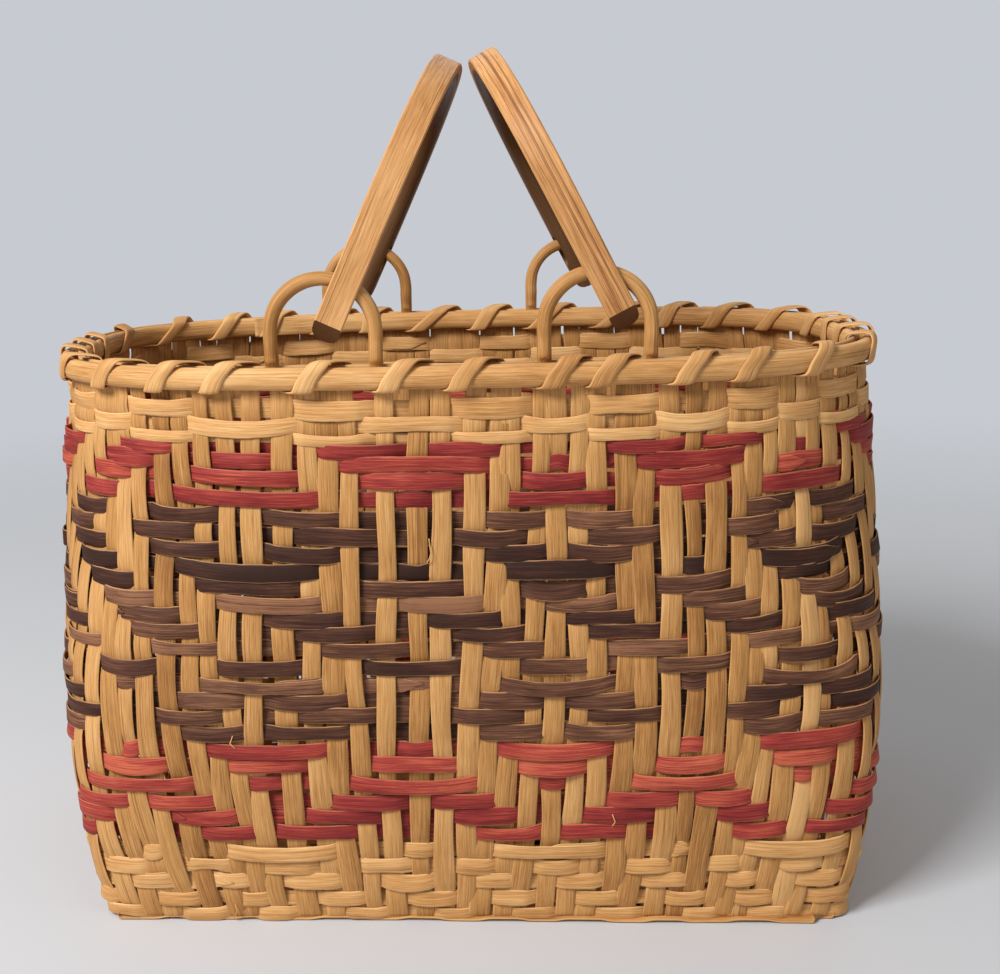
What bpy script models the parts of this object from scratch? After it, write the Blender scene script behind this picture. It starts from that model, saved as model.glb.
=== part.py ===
# Swing-handle market basket of split oak, built piece by piece.
# Units are metres, +Z is up, X is the long way, the photographed front faces -Y.
# The origin is on the table, under the middle of the base.

import math

import bmesh
import bpy
import numpy as np
from mathutils import Matrix, Vector

MM = 0.001

# Woven body
LONG_SIDE_STAKES = 34
SHORT_SIDE_STAKES = 20
BASE_HALF_LENGTH = 160.0 * MM
BASE_HALF_DEPTH = 94.0 * MM
RIM_HALF_LENGTH = 173.5 * MM
RIM_HALF_DEPTH = 99.5 * MM
END_BULGE = 7.9 * MM
SIDE_BULGE = 4.0 * MM
BASE_SQUARENESS = 20.0
RIM_SQUARENESS = 3.0
STAKE_THICKNESS = 1.0 * MM
STAKE_GROUP_GAP = 0.15
WALL_LEVELS = (0.0, 0.06, 0.14, 0.25, 0.40, 0.55, 0.70, 0.85, 1.0)
FACET_PLACES = (0.0, 3.5, 7.8, 11.4, 14.4)
SIDE_FACET_PLACES = (2.0, 5.0)

# Weavers
WEAVER_THICKNESS = 1.0 * MM
WEAVER_HEIGHT = 6.3 * MM
LOWEST_WEAVER = 4.2 * MM
HIGHEST_WEAVER = 225.4 * MM
TOP_PITCH = 6.6 * MM
WEAVER_COLOURS = (("natural", 3), ("red", 4), ("brown", 14), ("red", 6), ("natural", 5))

# Rim
RIM_TOP = 243.0 * MM
HOOP_HEIGHT = 12.0 * MM
OUTER_HOOP_THICKNESS = 4.2 * MM
INNER_HOOP_THICKNESS = 3.6 * MM
HOOP_ROUNDING = 0.55
LASHING_WIDTH = 8.8 * MM
LASHING_THICKNESS = 0.7 * MM
LASHING_LEAN = 7.5 * MM
LASHING_TOP_DRIFT = 3.0 * MM
LASHING_CORNER = 1.3 * MM
NOTCH_MARGIN = 1.8 * MM
WRAPS = (-212.0 * MM, -179.0 * MM, -147.0 * MM, -119.0 * MM, -95.0 * MM, -58.0 * MM, -25.0 * MM,
         2.0 * MM, 38.0 * MM, 56.0 * MM, 88.0 * MM, 112.0 * MM, 142.0 * MM, 180.0 * MM)

# Ears and handles
EAR_CENTRE = 53.0 * MM
EAR_RADIUS = 20.5 * MM
EAR_ROD = 2.9 * MM
EAR_RISE = 10.5 * MM
EAR_SHOULDER = 0.6
EAR_STEPS = 12
EAR_TAIL_LENGTH = 11.5 * MM
EAR_TAIL_THICKNESS = 2.0 * MM
HANDLE_WIDTH = 11.4 * MM
EYE_TO_TOP = 99.0 * MM
EYE_TO_FOOT = 18.0 * MM
FOOT_SLANT = 0.35
EYE_OUTER_WALL = 1.5 * MM
EYE_INNER_WALL = 1.6 * MM
EYE_ABOVE = 3.2 * MM
EYE_BELOW = 7.6 * MM
STRAIGHT_LEG = 14.0 * MM
BOW_SQUARENESS = 2.7
BOW_STEPS = 18
EASED_EDGE = 0.6 * MM
LEFT_LEAN = math.radians(25.0)
RIGHT_LEAN = math.radians(27.0)
MEETING_PLACE = 4.0 * MM
LYING_LEAN = math.radians(92.0)

# Clearances
SEAT = 0.3 * MM
WEAVER_GAP = 0.9 * MM
LASHING_GAP = 0.5 * MM
EYE_PLAY = 0.4 * MM
HANDLE_GAP = 0.4 * MM

# Sizes that follow from those above
QUARTER_STAKES = (LONG_SIDE_STAKES + SHORT_SIDE_STAKES) / 2
CORNER_PLACE = LONG_SIDE_STAKES / 2
ALL_PLACES = 4 * QUARTER_STAKES
RIM_BOTTOM = RIM_TOP - HOOP_HEIGHT
WALL_TURN = RIM_BOTTOM - LASHING_GAP - LASHING_THICKNESS - SEAT
EAR_GAP = EAR_TAIL_THICKNESS + 2 * SEAT
EAR_TAIL_IN = STAKE_THICKNESS + EAR_GAP / 2
INNER_HOOP_OUT = STAKE_THICKNESS + EAR_GAP
EAR_HEIGHT = RIM_TOP + EAR_RISE
EYE_HALF_WIDTH = EAR_ROD + EYE_PLAY
HANDLE_THICKNESS = EYE_OUTER_WALL + 2 * EYE_HALF_WIDTH + EYE_INNER_WALL


# Scene and materials

def clear_scene():
    for item in list(bpy.data.objects):
        bpy.data.objects.remove(item, do_unlink=True)


def collection(name):
    group = bpy.data.collections.new(name)
    bpy.context.scene.collection.children.link(group)
    return group


def wood(name, colour, roughness):
    material = bpy.data.materials.new(name)
    material.use_nodes = True
    shader = material.node_tree.nodes["Principled BSDF"]
    shader.inputs["Base Color"].default_value = (*colour, 1.0)
    shader.inputs["Roughness"].default_value = roughness
    shader.inputs["Metallic"].default_value = 0.0
    material.diffuse_color = (*colour, 1.0)
    return material


def add_object(name, data, group, material=None):
    item = bpy.data.objects.new(name, data)
    group.objects.link(item)
    if material is not None:
        item.data.materials.append(material)
    return item


def add_cutter(name, data):
    item = add_object(name, data, CUTTERS)
    item.hide_render = True
    item.display_type = "WIRE"
    return item


# The wall's outer face. A place is counted in stakes from the middle of the front,
# towards +X and on round the basket, and an offset is measured outwards.

def quarter_outline(half_length, half_depth, squareness):
    turn = np.linspace(0.0, math.pi / 2, 1201)
    across = np.sin(turn) / half_length
    along = np.cos(turn) / half_depth
    reach = (across ** squareness + along ** squareness) ** (-1.0 / squareness)
    x = reach * np.sin(turn)
    y = reach * np.cos(turn)
    length = np.concatenate(([0.0], np.cumsum(np.hypot(np.diff(x), np.diff(y)))))
    return x, y, length


def wall_shape(height):
    part = min(1.0, max(0.0, height / WALL_TURN))
    opened = 1.0 - (1.0 - part) ** 2
    swell = 4.0 * part * (1.0 - part)
    half_length = BASE_HALF_LENGTH + (RIM_HALF_LENGTH - BASE_HALF_LENGTH) * opened
    half_depth = BASE_HALF_DEPTH + (RIM_HALF_DEPTH - BASE_HALF_DEPTH) * opened
    squareness = RIM_SQUARENESS + (BASE_SQUARENESS - RIM_SQUARENESS) * (1.0 - part) ** 3
    return half_length + END_BULGE * swell, half_depth + SIDE_BULGE * swell, squareness


OUTLINES = {}


def outline_at(height):
    key = round(height, 7)
    if key not in OUTLINES:
        shape = wall_shape(height)
        OUTLINES[key] = (shape, quarter_outline(*shape))
    return OUTLINES[key]


def wall_point(place, height, offset=0.0):
    (half_length, half_depth, squareness), (xs, ys, lengths) = outline_at(height)
    place = place % ALL_PLACES
    quarter = int(place // QUARTER_STAKES)
    within = place - quarter * QUARTER_STAKES
    if quarter in (1, 3):
        within = QUARTER_STAKES - within
    distance = within / QUARTER_STAKES * lengths[-1]
    x = float(np.interp(distance, lengths, xs))
    y = float(np.interp(distance, lengths, ys))
    lean_x = (x / half_length) ** (squareness - 1.0) / half_length
    lean_y = (y / half_depth) ** (squareness - 1.0) / half_depth
    size = math.hypot(lean_x, lean_y)
    x += offset * lean_x / size
    y += offset * lean_y / size
    side_x = 1.0 if quarter in (0, 1) else -1.0
    side_y = -1.0 if quarter in (0, 3) else 1.0
    return Vector((side_x * x, side_y * y, height))


def rim_length():
    return 4.0 * outline_at(RIM_TOP)[1][2][-1]


def rim_place(distance):
    return distance / rim_length() * ALL_PLACES


# Stakes

def facet_places():
    quarter = list(FACET_PLACES) + [CORNER_PLACE] + [CORNER_PLACE + step for step in SIDE_FACET_PLACES]
    first_half = quarter + [QUARTER_STAKES] + [2 * QUARTER_STAKES - place for place in quarter[:0:-1]]
    return first_half + [place + 2 * QUARTER_STAKES for place in first_half]


def faceted_point(place, height):
    # A point on the same flat facets that the weavers are built on.
    stops = facet_places() + [ALL_PLACES]
    place = place % ALL_PLACES
    after = next(index for index, stop in enumerate(stops) if stop > place)
    start, end = stops[after - 1], stops[after]
    part = (place - start) / (end - start)
    return wall_point(start, height).lerp(wall_point(end, height), part)


def side_places(middle, half_count):
    edge = half_count - STAKE_GROUP_GAP
    reach = [place - middle for place in facet_places() if abs(place - middle) < edge]
    if middle == 0.0:
        reach = sorted(set(reach) | {-place for place in reach})
    return [-edge] + reach + [edge]


def bent_sheet(name, columns, base_height, near_middle, far_middle, material):
    levels = [base_height + (WALL_TURN - base_height) * level for level in WALL_LEVELS] + [RIM_TOP]
    steps = [(near_middle, 1.0, level) for level in reversed(levels)]
    steps += [(far_middle, -1.0, level) for level in levels]
    mesh = bpy.data.meshes.new(name)
    form = bmesh.new()
    bmesh.ops.create_grid(form, x_segments=len(columns) - 1, y_segments=len(steps) - 1, size=1.0)
    for vert in form.verts:
        column = round((vert.co.x + 1.0) / 2.0 * (len(columns) - 1))
        row = round((vert.co.y + 1.0) / 2.0 * (len(steps) - 1))
        middle, direction, level = steps[row]
        vert.co = faceted_point(middle + direction * columns[column], level)
    form.to_mesh(mesh)
    form.free()
    sheet = add_object(name, mesh, BASKET, material)
    shell = sheet.modifiers.new("thickness", "SOLIDIFY")
    shell.thickness = STAKE_THICKNESS
    shell.offset = 1.0
    shell.use_even_offset = True
    return sheet


def crossing_distances():
    # Where the lashing passes under the hoops and through the line of stakes.
    path = lashing_path()
    crossings = []
    for first in range(6, len(path), 8):
        inside, outside = path[first], path[first + 1]
        part = (-STAKE_THICKNESS / 2 - inside[1]) / (outside[1] - inside[1])
        crossings.append(inside[0] + part * (outside[0] - inside[0]))
    return crossings


def notch(distance):
    place = rim_place(distance)
    middle = wall_point(place, RIM_TOP, -STAKE_THICKNESS / 2)
    ahead = wall_point(place + 0.1, RIM_TOP) - wall_point(place - 0.1, RIM_TOP)
    floor = WALL_TURN - 2 * SEAT
    height = RIM_TOP + 2 * SEAT - floor
    form = bmesh.new()
    bmesh.ops.create_cube(form, size=1.0)
    size = Matrix.Diagonal((LASHING_WIDTH + 2 * NOTCH_MARGIN, 4 * STAKE_THICKNESS, height, 1.0))
    turn = Matrix.Rotation(math.atan2(ahead.y, ahead.x), 4, "Z")
    move = Matrix.Translation((middle.x, middle.y, floor + height / 2))
    bmesh.ops.transform(form, matrix=move @ turn @ size, verts=form.verts)
    mesh = bpy.data.meshes.new("notch")
    form.to_mesh(mesh)
    form.free()
    return mesh


def lashing_notches():
    parts = [notch(distance) for distance in crossing_distances()]
    joined = bmesh.new()
    for mesh in parts:
        joined.from_mesh(mesh)
        bpy.data.meshes.remove(mesh)
    mesh = bpy.data.meshes.new("lashing_notches")
    joined.to_mesh(mesh)
    joined.free()
    return add_cutter("lashing_notches", mesh)


def cut(item, cutter):
    gap = item.modifiers.new("cut", "BOOLEAN")
    gap.operation = "DIFFERENCE"
    gap.solver = "EXACT"
    gap.object = cutter


def make_stakes():
    long_half = LONG_SIDE_STAKES / 2
    short_half = SHORT_SIDE_STAKES / 2
    crosswise = bent_sheet("crosswise_stakes", side_places(0.0, long_half), 0.0,
                           0.0, 2 * QUARTER_STAKES, STAKE_WOOD)
    lengthwise = bent_sheet("lengthwise_stakes", side_places(QUARTER_STAKES, short_half),
                            STAKE_THICKNESS + SEAT, QUARTER_STAKES, 3 * QUARTER_STAKES, STAKE_WOOD)
    notches = lashing_notches()
    cut(crosswise, notches)
    cut(lengthwise, notches)


# Weavers

def weaver(name, height, material):
    places = facet_places()
    form = bmesh.new()
    bmesh.ops.create_cone(form, cap_ends=False, segments=len(places), radius1=1.0, radius2=1.0, depth=1.0)
    for vert in form.verts:
        turn = math.atan2(vert.co.x, -vert.co.y) % (2 * math.pi)
        index = round(turn / (2 * math.pi) * len(places)) % len(places)
        rise = height + vert.co.z * WEAVER_HEIGHT
        vert.co = wall_point(places[index], rise, WEAVER_GAP)
    mesh = bpy.data.meshes.new(name)
    form.to_mesh(mesh)
    form.free()
    ring = add_object(name, mesh, BASKET, material)
    shell = ring.modifiers.new("thickness", "SOLIDIFY")
    shell.thickness = WEAVER_THICKNESS
    shell.offset = 1.0
    shell.use_even_offset = True


def make_weavers():
    # The rows are pressed together most under the rim, and each next gap is a little wider.
    colours = [colour for colour, count in WEAVER_COLOURS for _ in range(count)]
    steps = len(colours) - 1
    slack = HIGHEST_WEAVER - LOWEST_WEAVER - steps * TOP_PITCH
    for row, colour in enumerate(colours):
        eased = slack * row * (row - 1) / (steps * (steps - 1))
        weaver(f"weaver_{row + 1:02d}_{colour}", HIGHEST_WEAVER - row * TOP_PITCH - eased, WEAVER_WOODS[colour])


# Rim

def flat_curve(name, points, closed=True):
    data = bpy.data.curves.new(name, "CURVE")
    data.dimensions = "3D"
    spline = data.splines.new("POLY")
    spline.points.add(len(points) - 1)
    for point, place in zip(spline.points, points):
        point.co = (*place, 1.0)
    spline.use_cyclic_u = closed
    return data


def guide(name, points):
    data = flat_curve(name, points)
    data.dimensions = "2D"
    item = add_object(name, data, CUTTERS)
    item.hide_render = True
    item.display_type = "WIRE"
    return item


def mesh_from_curve(name, data, group, material):
    temporary = add_object(name + "_curve", data, group)
    bpy.context.view_layer.update()
    graph = bpy.context.evaluated_depsgraph_get()
    mesh = bpy.data.meshes.new_from_object(temporary.evaluated_get(graph))
    bpy.data.objects.remove(temporary, do_unlink=True)
    form = bmesh.new()
    form.from_mesh(mesh)
    bmesh.ops.remove_doubles(form, verts=form.verts, dist=0.00001)
    bmesh.ops.recalc_face_normals(form, faces=form.faces)
    form.to_mesh(mesh)
    form.free()
    mesh.name = name
    return add_object(name, mesh, group, material)


def smooth(item, degrees=40.0):
    item.data.shade_smooth()
    item.data.set_sharp_from_angle(angle=math.radians(degrees))


def hoop(name, inner_offset, thickness, round_side, material):
    half = HOOP_HEIGHT / 2
    turns = [math.pi * step / 4 - math.pi / 2 for step in range(5)]
    rounding = thickness * HOOP_ROUNDING
    edge = thickness / 2 - rounding
    profile = [(round_side * (edge + rounding * math.cos(turn)), half * math.sin(turn), 0.0)
               for turn in turns]
    profile += [(round_side * -thickness / 2, half, 0.0), (round_side * -thickness / 2, -half, 0.0)]
    shape = guide(name + "_profile", profile)
    middle = inner_offset + thickness / 2
    height = RIM_TOP - half
    stops = facet_places() + [ALL_PLACES]
    points = []
    for start, end in zip(stops, stops[1:]):
        points.append(wall_point(start, height, middle))
        points.append(wall_point((start + end) / 2, height, middle))
    data = flat_curve(name, points)
    data.twist_mode = "Z_UP"
    data.bevel_mode = "OBJECT"
    data.bevel_object = shape
    ring = mesh_from_curve(name, data, BASKET, material)
    smooth(ring)


def wrap_distances():
    half = rim_length() / 2
    return list(WRAPS) + [wrap + half for wrap in WRAPS]


def lashing_path():
    # Distance along the rim, offset from the wall and height, 8 points for each turn.
    outer = SEAT + OUTER_HOOP_THICKNESS + LASHING_GAP + LASHING_THICKNESS / 2
    inner = -(INNER_HOOP_OUT + INNER_HOOP_THICKNESS + LASHING_GAP + LASHING_THICKNESS / 2)
    top = RIM_TOP + LASHING_GAP + LASHING_THICKNESS / 2
    bottom = RIM_BOTTOM - LASHING_GAP - LASHING_THICKNESS / 2
    corner = LASHING_CORNER
    wraps = wrap_distances()
    path = []
    for index, wrap in enumerate(wraps):
        following = wraps[index + 1] if index + 1 < len(wraps) else wraps[0] + rim_length()
        start = wrap - LASHING_LEAN / 2
        crest = wrap + LASHING_LEAN / 2
        inside = crest + LASHING_TOP_DRIFT + 2 * corner
        outside_again = following - LASHING_LEAN / 2
        rest = (outside_again - inside - 2 * corner) / 2
        path += [
            (start, outer, bottom + corner),
            (crest, outer, top - corner),
            (crest + corner, outer - corner, top),
            (crest + corner + LASHING_TOP_DRIFT, inner + corner, top),
            (inside, inner, top - corner),
            (inside + rest, inner, bottom + corner),
            (inside + rest + corner, inner + corner, bottom),
            (outside_again - corner, outer - corner, bottom),
        ]
    return path


def make_lashing(material):
    path = lashing_path()
    count = len(path)
    form = bmesh.new()
    bmesh.ops.create_cone(form, cap_ends=False, segments=count, radius1=1.0, radius2=1.0, depth=1.0)
    for vert in form.verts:
        turn = math.atan2(vert.co.y, vert.co.x) % (2 * math.pi)
        distance, offset, height = path[round(turn / (2 * math.pi) * count) % count]
        vert.co = wall_point(rim_place(distance - vert.co.z * LASHING_WIDTH), RIM_TOP, offset)
        vert.co.z = height
    mesh = bpy.data.meshes.new("rim_lashing")
    form.to_mesh(mesh)
    form.free()
    band = add_object("rim_lashing", mesh, BASKET, material)
    shell = band.modifiers.new("thickness", "SOLIDIFY")
    shell.thickness = LASHING_THICKNESS
    shell.offset = 0.0


# Ears

def ear_plane():
    near = EAR_CENTRE - EAR_RADIUS
    far = EAR_CENTRE + EAR_RADIUS
    return (tail_depth(near) + tail_depth(far)) / 2


def tail_depth(x):
    half_length, half_depth, squareness = wall_shape(RIM_TOP)
    wall = half_depth * (1.0 - (x / half_length) ** squareness) ** (1.0 / squareness)
    return wall - EAR_TAIL_IN


def ear(name, side_x, side_y, material):
    plane = ear_plane()
    path = []
    for x in (EAR_CENTRE + EAR_RADIUS, EAR_CENTRE - EAR_RADIUS):
        leg = [(x, tail_depth(x), RIM_TOP - EAR_TAIL_LENGTH)]
        leg.append((x, tail_depth(x), RIM_TOP + SEAT))
        leg.append((x, tail_depth(x), RIM_TOP + 4 * SEAT))
        leg.append((x, plane, RIM_TOP + EAR_RISE * EAR_SHOULDER))
        path.append(leg)
    arch = []
    for step in range(EAR_STEPS + 1):
        turn = math.pi * step / EAR_STEPS
        x = EAR_CENTRE + EAR_RADIUS * math.cos(turn)
        arch.append((x, plane, EAR_HEIGHT + EAR_RADIUS * math.sin(turn)))
    points = path[0] + arch + path[1][::-1]
    points = [(side_x * x, side_y * y, z) for x, y, z in points]
    data = flat_curve(name, points, closed=False)
    data.bevel_depth = EAR_ROD
    data.bevel_resolution = 2
    data.use_fill_caps = True
    bent = mesh_from_curve(name, data, BASKET, material)
    for vert in bent.data.vertices:
        x, y, z = vert.co
        if z < RIM_TOP + 2 * SEAT:
            middle = side_y * tail_depth(EAR_CENTRE + math.copysign(EAR_RADIUS, abs(x) - EAR_CENTRE))
            vert.co.y = middle + (y - middle) * EAR_TAIL_THICKNESS / 2 / EAR_ROD
    smooth(bent)


# Handles. A leg frame has its x across the strip, its z up the leg from the eye.

def eye_turn(side_x, lean):
    # The two tops meet a little to the right of the middle.
    reach = EYE_TO_TOP * math.sin(lean) + HANDLE_WIDTH / 2 * math.cos(lean)
    room = EAR_CENTRE - side_x * MEETING_PLACE - HANDLE_GAP / 2
    return math.asin((room - reach) / EAR_RADIUS)


def turning_axis(side_x, lean):
    # The fixed axis that carries the handle from leaning inwards to lying on the rim.
    # Distances are from the ear's centre, inwards and up.
    turn = eye_turn(side_x, lean)
    leaning = Vector((EAR_RADIUS * math.sin(turn), EAR_RADIUS * math.cos(turn)))
    lying = Vector((-EAR_RADIUS, 0.0))
    chord = lying - leaning
    left = Vector((-chord.y, chord.x)).normalized()
    swing = lean + LYING_LEAN
    centre = (leaning + lying) / 2 + left * (chord.length / 2 / math.tan(swing / 2))
    return leaning, centre


def bow_points():
    outer = ear_plane() + EYE_HALF_WIDTH + EYE_OUTER_WALL
    half = outer - HANDLE_THICKNESS / 2
    rise = EYE_TO_TOP - HANDLE_THICKNESS / 2 - STRAIGHT_LEG
    points = [(0.0, -half, -EYE_TO_FOOT), (0.0, -half, -EYE_BELOW - EYE_HALF_WIDTH - SEAT),
              (0.0, -half, EYE_ABOVE + EYE_HALF_WIDTH + SEAT)]
    for step in range(BOW_STEPS + 1):
        turn = math.pi * step / BOW_STEPS
        power = 2.0 / BOW_SQUARENESS
        across = math.copysign(abs(math.cos(turn)) ** power, math.cos(turn))
        up = abs(math.sin(turn)) ** power
        points.append((0.0, -half * across, STRAIGHT_LEG + rise * up))
    points += [(x, -y, z) for x, y, z in reversed(points[:3])]
    return points


def strip_profile():
    # Flat outside with eased edges, rounded inside.
    half = HANDLE_WIDTH / 2
    flat = HANDLE_THICKNESS / 2
    points = [(half - EASED_EDGE, flat, 0.0), (half, flat - EASED_EDGE, 0.0)]
    for step in range(7):
        turn = math.pi * step / 6
        points.append(((half - SEAT / 2) * math.cos(turn), -flat * math.sin(turn), 0.0))
    points += [(-half, flat - EASED_EDGE, 0.0), (EASED_EDGE - half, flat, 0.0)]
    return points


def eye_cutter(name, y):
    form = bmesh.new()
    bmesh.ops.create_cone(form, cap_ends=True, segments=16, radius1=EYE_HALF_WIDTH,
                          radius2=EYE_HALF_WIDTH, depth=2 * HANDLE_WIDTH)
    for vert in form.verts:
        x, depth, height = vert.co.z, vert.co.x, vert.co.y
        height += EYE_ABOVE if height > 0.0 else -EYE_BELOW
        vert.co = Vector((x, y + depth, height))
    mesh = bpy.data.meshes.new(name)
    form.to_mesh(mesh)
    form.free()
    return add_cutter(name, mesh)


def handle(name, side_x, lean, material):
    # side_x is -1 for the handle on the left ears and +1 for the one on the right ears.
    eye, axis = turning_axis(side_x, lean)
    profile = guide(name + "_profile", strip_profile())
    data = flat_curve(name, bow_points(), closed=False)
    data.twist_mode = "MINIMUM"
    data.bevel_mode = "OBJECT"
    data.bevel_object = profile
    data.use_fill_caps = True
    strip = mesh_from_curve(name, data, BASKET, material)
    outer = max(abs(vert.co.y) for vert in strip.data.vertices)
    for vert in strip.data.vertices:
        if vert.co.z < -EYE_TO_FOOT + SEAT:
            vert.co.z -= (outer - abs(vert.co.y)) * FOOT_SLANT
    smooth(strip)
    inward = Vector((-side_x, 0.0, 0.0))
    offset = axis - eye
    along = offset.x * math.sin(lean) + offset.y * math.cos(lean)
    across = offset.x * math.cos(lean) - offset.y * math.sin(lean)
    to_axis = inward * across + Vector((0.0, 0.0, along))
    for vert in strip.data.vertices:
        vert.co -= to_axis
    centre = Vector((side_x * EAR_CENTRE, 0.0, EAR_HEIGHT))
    place = centre + inward * axis.x + Vector((0.0, 0.0, axis.y))
    for end, y in (("front", -ear_plane()), ("back", ear_plane())):
        cutter = eye_cutter(f"{name}_{end}_eye", y)
        cutter.data.transform(Matrix.Translation(-to_axis))
        cutter.parent = strip
        cut(strip, cutter)
    strip.location = place
    strip.rotation_euler = (0.0, -side_x * lean, 0.0)
    print(f"{name} turns about x {place.x:.5f} z {place.z:.5f}, range 0 to "
          f"{math.degrees(lean + LYING_LEAN):.1f} degrees")


clear_scene()
BASKET = collection("swing_handle_basket")
CUTTERS = collection("cutters")
STAKE_WOOD = wood("stake oak", (0.53, 0.32, 0.12), 0.6)
WEAVER_WOODS = {
    "natural": wood("natural weaver oak", (0.60, 0.37, 0.15), 0.6),
    "red": wood("red dyed weaver oak", (0.36, 0.045, 0.035), 0.6),
    "brown": wood("brown dyed weaver oak", (0.13, 0.065, 0.04), 0.6),
}
HOOP_WOOD = wood("rim oak", (0.58, 0.34, 0.13), 0.55)
LASHING_WOOD = wood("lashing oak", (0.54, 0.30, 0.12), 0.55)
EAR_WOOD = wood("ear oak", (0.52, 0.29, 0.10), 0.5)
HANDLE_WOOD = wood("handle oak", (0.38, 0.18, 0.07), 0.5)

make_stakes()
make_weavers()
hoop("outer_rim_hoop", SEAT, OUTER_HOOP_THICKNESS, 1.0, HOOP_WOOD)
hoop("inner_rim_hoop", -INNER_HOOP_OUT - INNER_HOOP_THICKNESS, INNER_HOOP_THICKNESS, -1.0, HOOP_WOOD)
make_lashing(LASHING_WOOD)
for ear_name, ear_x, ear_y in (("ear_front_left", -1, -1), ("ear_front_right", 1, -1),
                               ("ear_back_left", -1, 1), ("ear_back_right", 1, 1)):
    ear(ear_name, ear_x, ear_y, EAR_WOOD)
handle("handle_left", -1, LEFT_LEAN, HANDLE_WOOD)
handle("handle_right", 1, RIGHT_LEAN, HANDLE_WOOD)
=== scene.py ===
# %% [markdown]
# # A split-oak market basket with two swing handles
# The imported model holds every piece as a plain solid: two bent sheets for the stakes, a
# plain ring for each weaver, hoops, lashing, ears and handles. This lesson dresses it.
# Each splint is drawn again as the thin strip that it is, going over and under its
# neighbours, with grain that runs along its own length.

import math

import bpy
import numpy as np
from mathutils import Matrix, Vector


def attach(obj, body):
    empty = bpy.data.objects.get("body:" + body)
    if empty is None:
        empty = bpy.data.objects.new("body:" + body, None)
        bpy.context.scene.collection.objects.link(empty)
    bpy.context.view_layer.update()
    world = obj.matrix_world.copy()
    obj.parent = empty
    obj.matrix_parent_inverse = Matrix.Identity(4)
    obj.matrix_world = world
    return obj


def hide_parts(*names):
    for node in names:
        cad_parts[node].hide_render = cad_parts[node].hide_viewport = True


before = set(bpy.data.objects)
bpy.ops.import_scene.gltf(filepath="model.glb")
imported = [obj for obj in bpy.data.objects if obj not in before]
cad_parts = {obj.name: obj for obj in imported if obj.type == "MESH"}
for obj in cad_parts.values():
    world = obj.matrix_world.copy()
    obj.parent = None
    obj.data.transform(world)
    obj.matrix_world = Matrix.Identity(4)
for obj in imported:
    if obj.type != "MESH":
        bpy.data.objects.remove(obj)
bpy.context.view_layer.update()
MM = 0.001

# %% [markdown]
# ## The camera
# The picture was taken from the front, a little above the rim. The place and the tilt were
# found by fitting the rim, the base, the rows, the ears and the handles of the model to the
# picture. The lens sees about 40 degrees across.

# %% Camera
CAMERA_PLACE = Vector((5.85, -630.24, 316.02)) * MM
CAMERA_YAW = -0.05843
CAMERA_PITCH = 0.22506
CAMERA_ROLL = -0.03059
FOCAL_PIXELS = 1386.6
PICTURE_SIZE = (1000.0, 974.0)
PICTURE_MIDDLE = (398.1, 481.38)
SENSOR_WIDTH = 36.0


def show(name, data):
    """A new object in the scene."""
    thing = bpy.data.objects.new(name, data)
    bpy.context.scene.collection.objects.link(thing)
    return thing


def make_camera():
    forward = Vector((math.sin(CAMERA_YAW) * math.cos(CAMERA_PITCH),
                      math.cos(CAMERA_YAW) * math.cos(CAMERA_PITCH), -math.sin(CAMERA_PITCH)))
    right = Vector((math.cos(CAMERA_YAW), -math.sin(CAMERA_YAW), 0.0))
    up = right.cross(forward)
    turned_right = math.cos(CAMERA_ROLL) * right + math.sin(CAMERA_ROLL) * up
    turned_up = math.cos(CAMERA_ROLL) * up - math.sin(CAMERA_ROLL) * right
    data = bpy.data.cameras.new("camera")
    data.sensor_fit = "HORIZONTAL"
    data.sensor_width = SENSOR_WIDTH
    data.lens = SENSOR_WIDTH * FOCAL_PIXELS / PICTURE_SIZE[0]
    data.shift_x = (PICTURE_SIZE[0] / 2 - PICTURE_MIDDLE[0]) / PICTURE_SIZE[0]
    data.shift_y = (PICTURE_MIDDLE[1] - PICTURE_SIZE[1] / 2) / PICTURE_SIZE[0]
    data.clip_start = 0.01
    camera = show("camera", data)
    turn = Matrix((turned_right, turned_up, -forward)).transposed().to_4x4()
    camera.matrix_world = Matrix.Translation(CAMERA_PLACE) @ turn
    bpy.context.scene.camera = camera
    return camera


camera = make_camera()
print("lens", round(camera.data.lens, 1), "mm")

# %% [markdown]
# ## The wall that everything follows
# All the splints lie on one wall, which is a rounded oblong that grows and softens from the
# base to the rim. A place on it is counted in stakes from the middle of the front towards
# the right and on round the basket. A table of places and heights, read between its
# lines, is quick enough for the two hundred thousand points of the weave.

# %% The wall
LONG_SIDE_STAKES = 34
SHORT_SIDE_STAKES = 20
QUARTER_STAKES = (LONG_SIDE_STAKES + SHORT_SIDE_STAKES) // 2
ALL_PLACES = 4 * QUARTER_STAKES
BASE_HALF = (160.0 * MM, 94.0 * MM)
RIM_HALF = (173.5 * MM, 99.5 * MM)
BULGE = (7.9 * MM, 4.0 * MM)
BASE_SQUARENESS = 20.0
RIM_SQUARENESS = 3.0
RIM_TOP = 243.0 * MM
HOOP_HEIGHT = 12.0 * MM
UNDER_HOOP = 1.5 * MM
WALL_TURN = RIM_TOP - HOOP_HEIGHT - UNDER_HOOP
OUTLINE_POINTS = 1201
TABLE_STEP = 1.0 * MM
TABLE_PLACES = 8


def wall_shape(height):
    part = min(1.0, max(0.0, height / WALL_TURN))
    opened = 1.0 - (1.0 - part) ** 2
    swell = 4.0 * part * (1.0 - part)
    half = [base + (rim - base) * opened + bulge * swell
            for base, rim, bulge in zip(BASE_HALF, RIM_HALF, BULGE)]
    return half[0], half[1], RIM_SQUARENESS + (BASE_SQUARENESS - RIM_SQUARENESS) * (1.0 - part) ** 3


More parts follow.
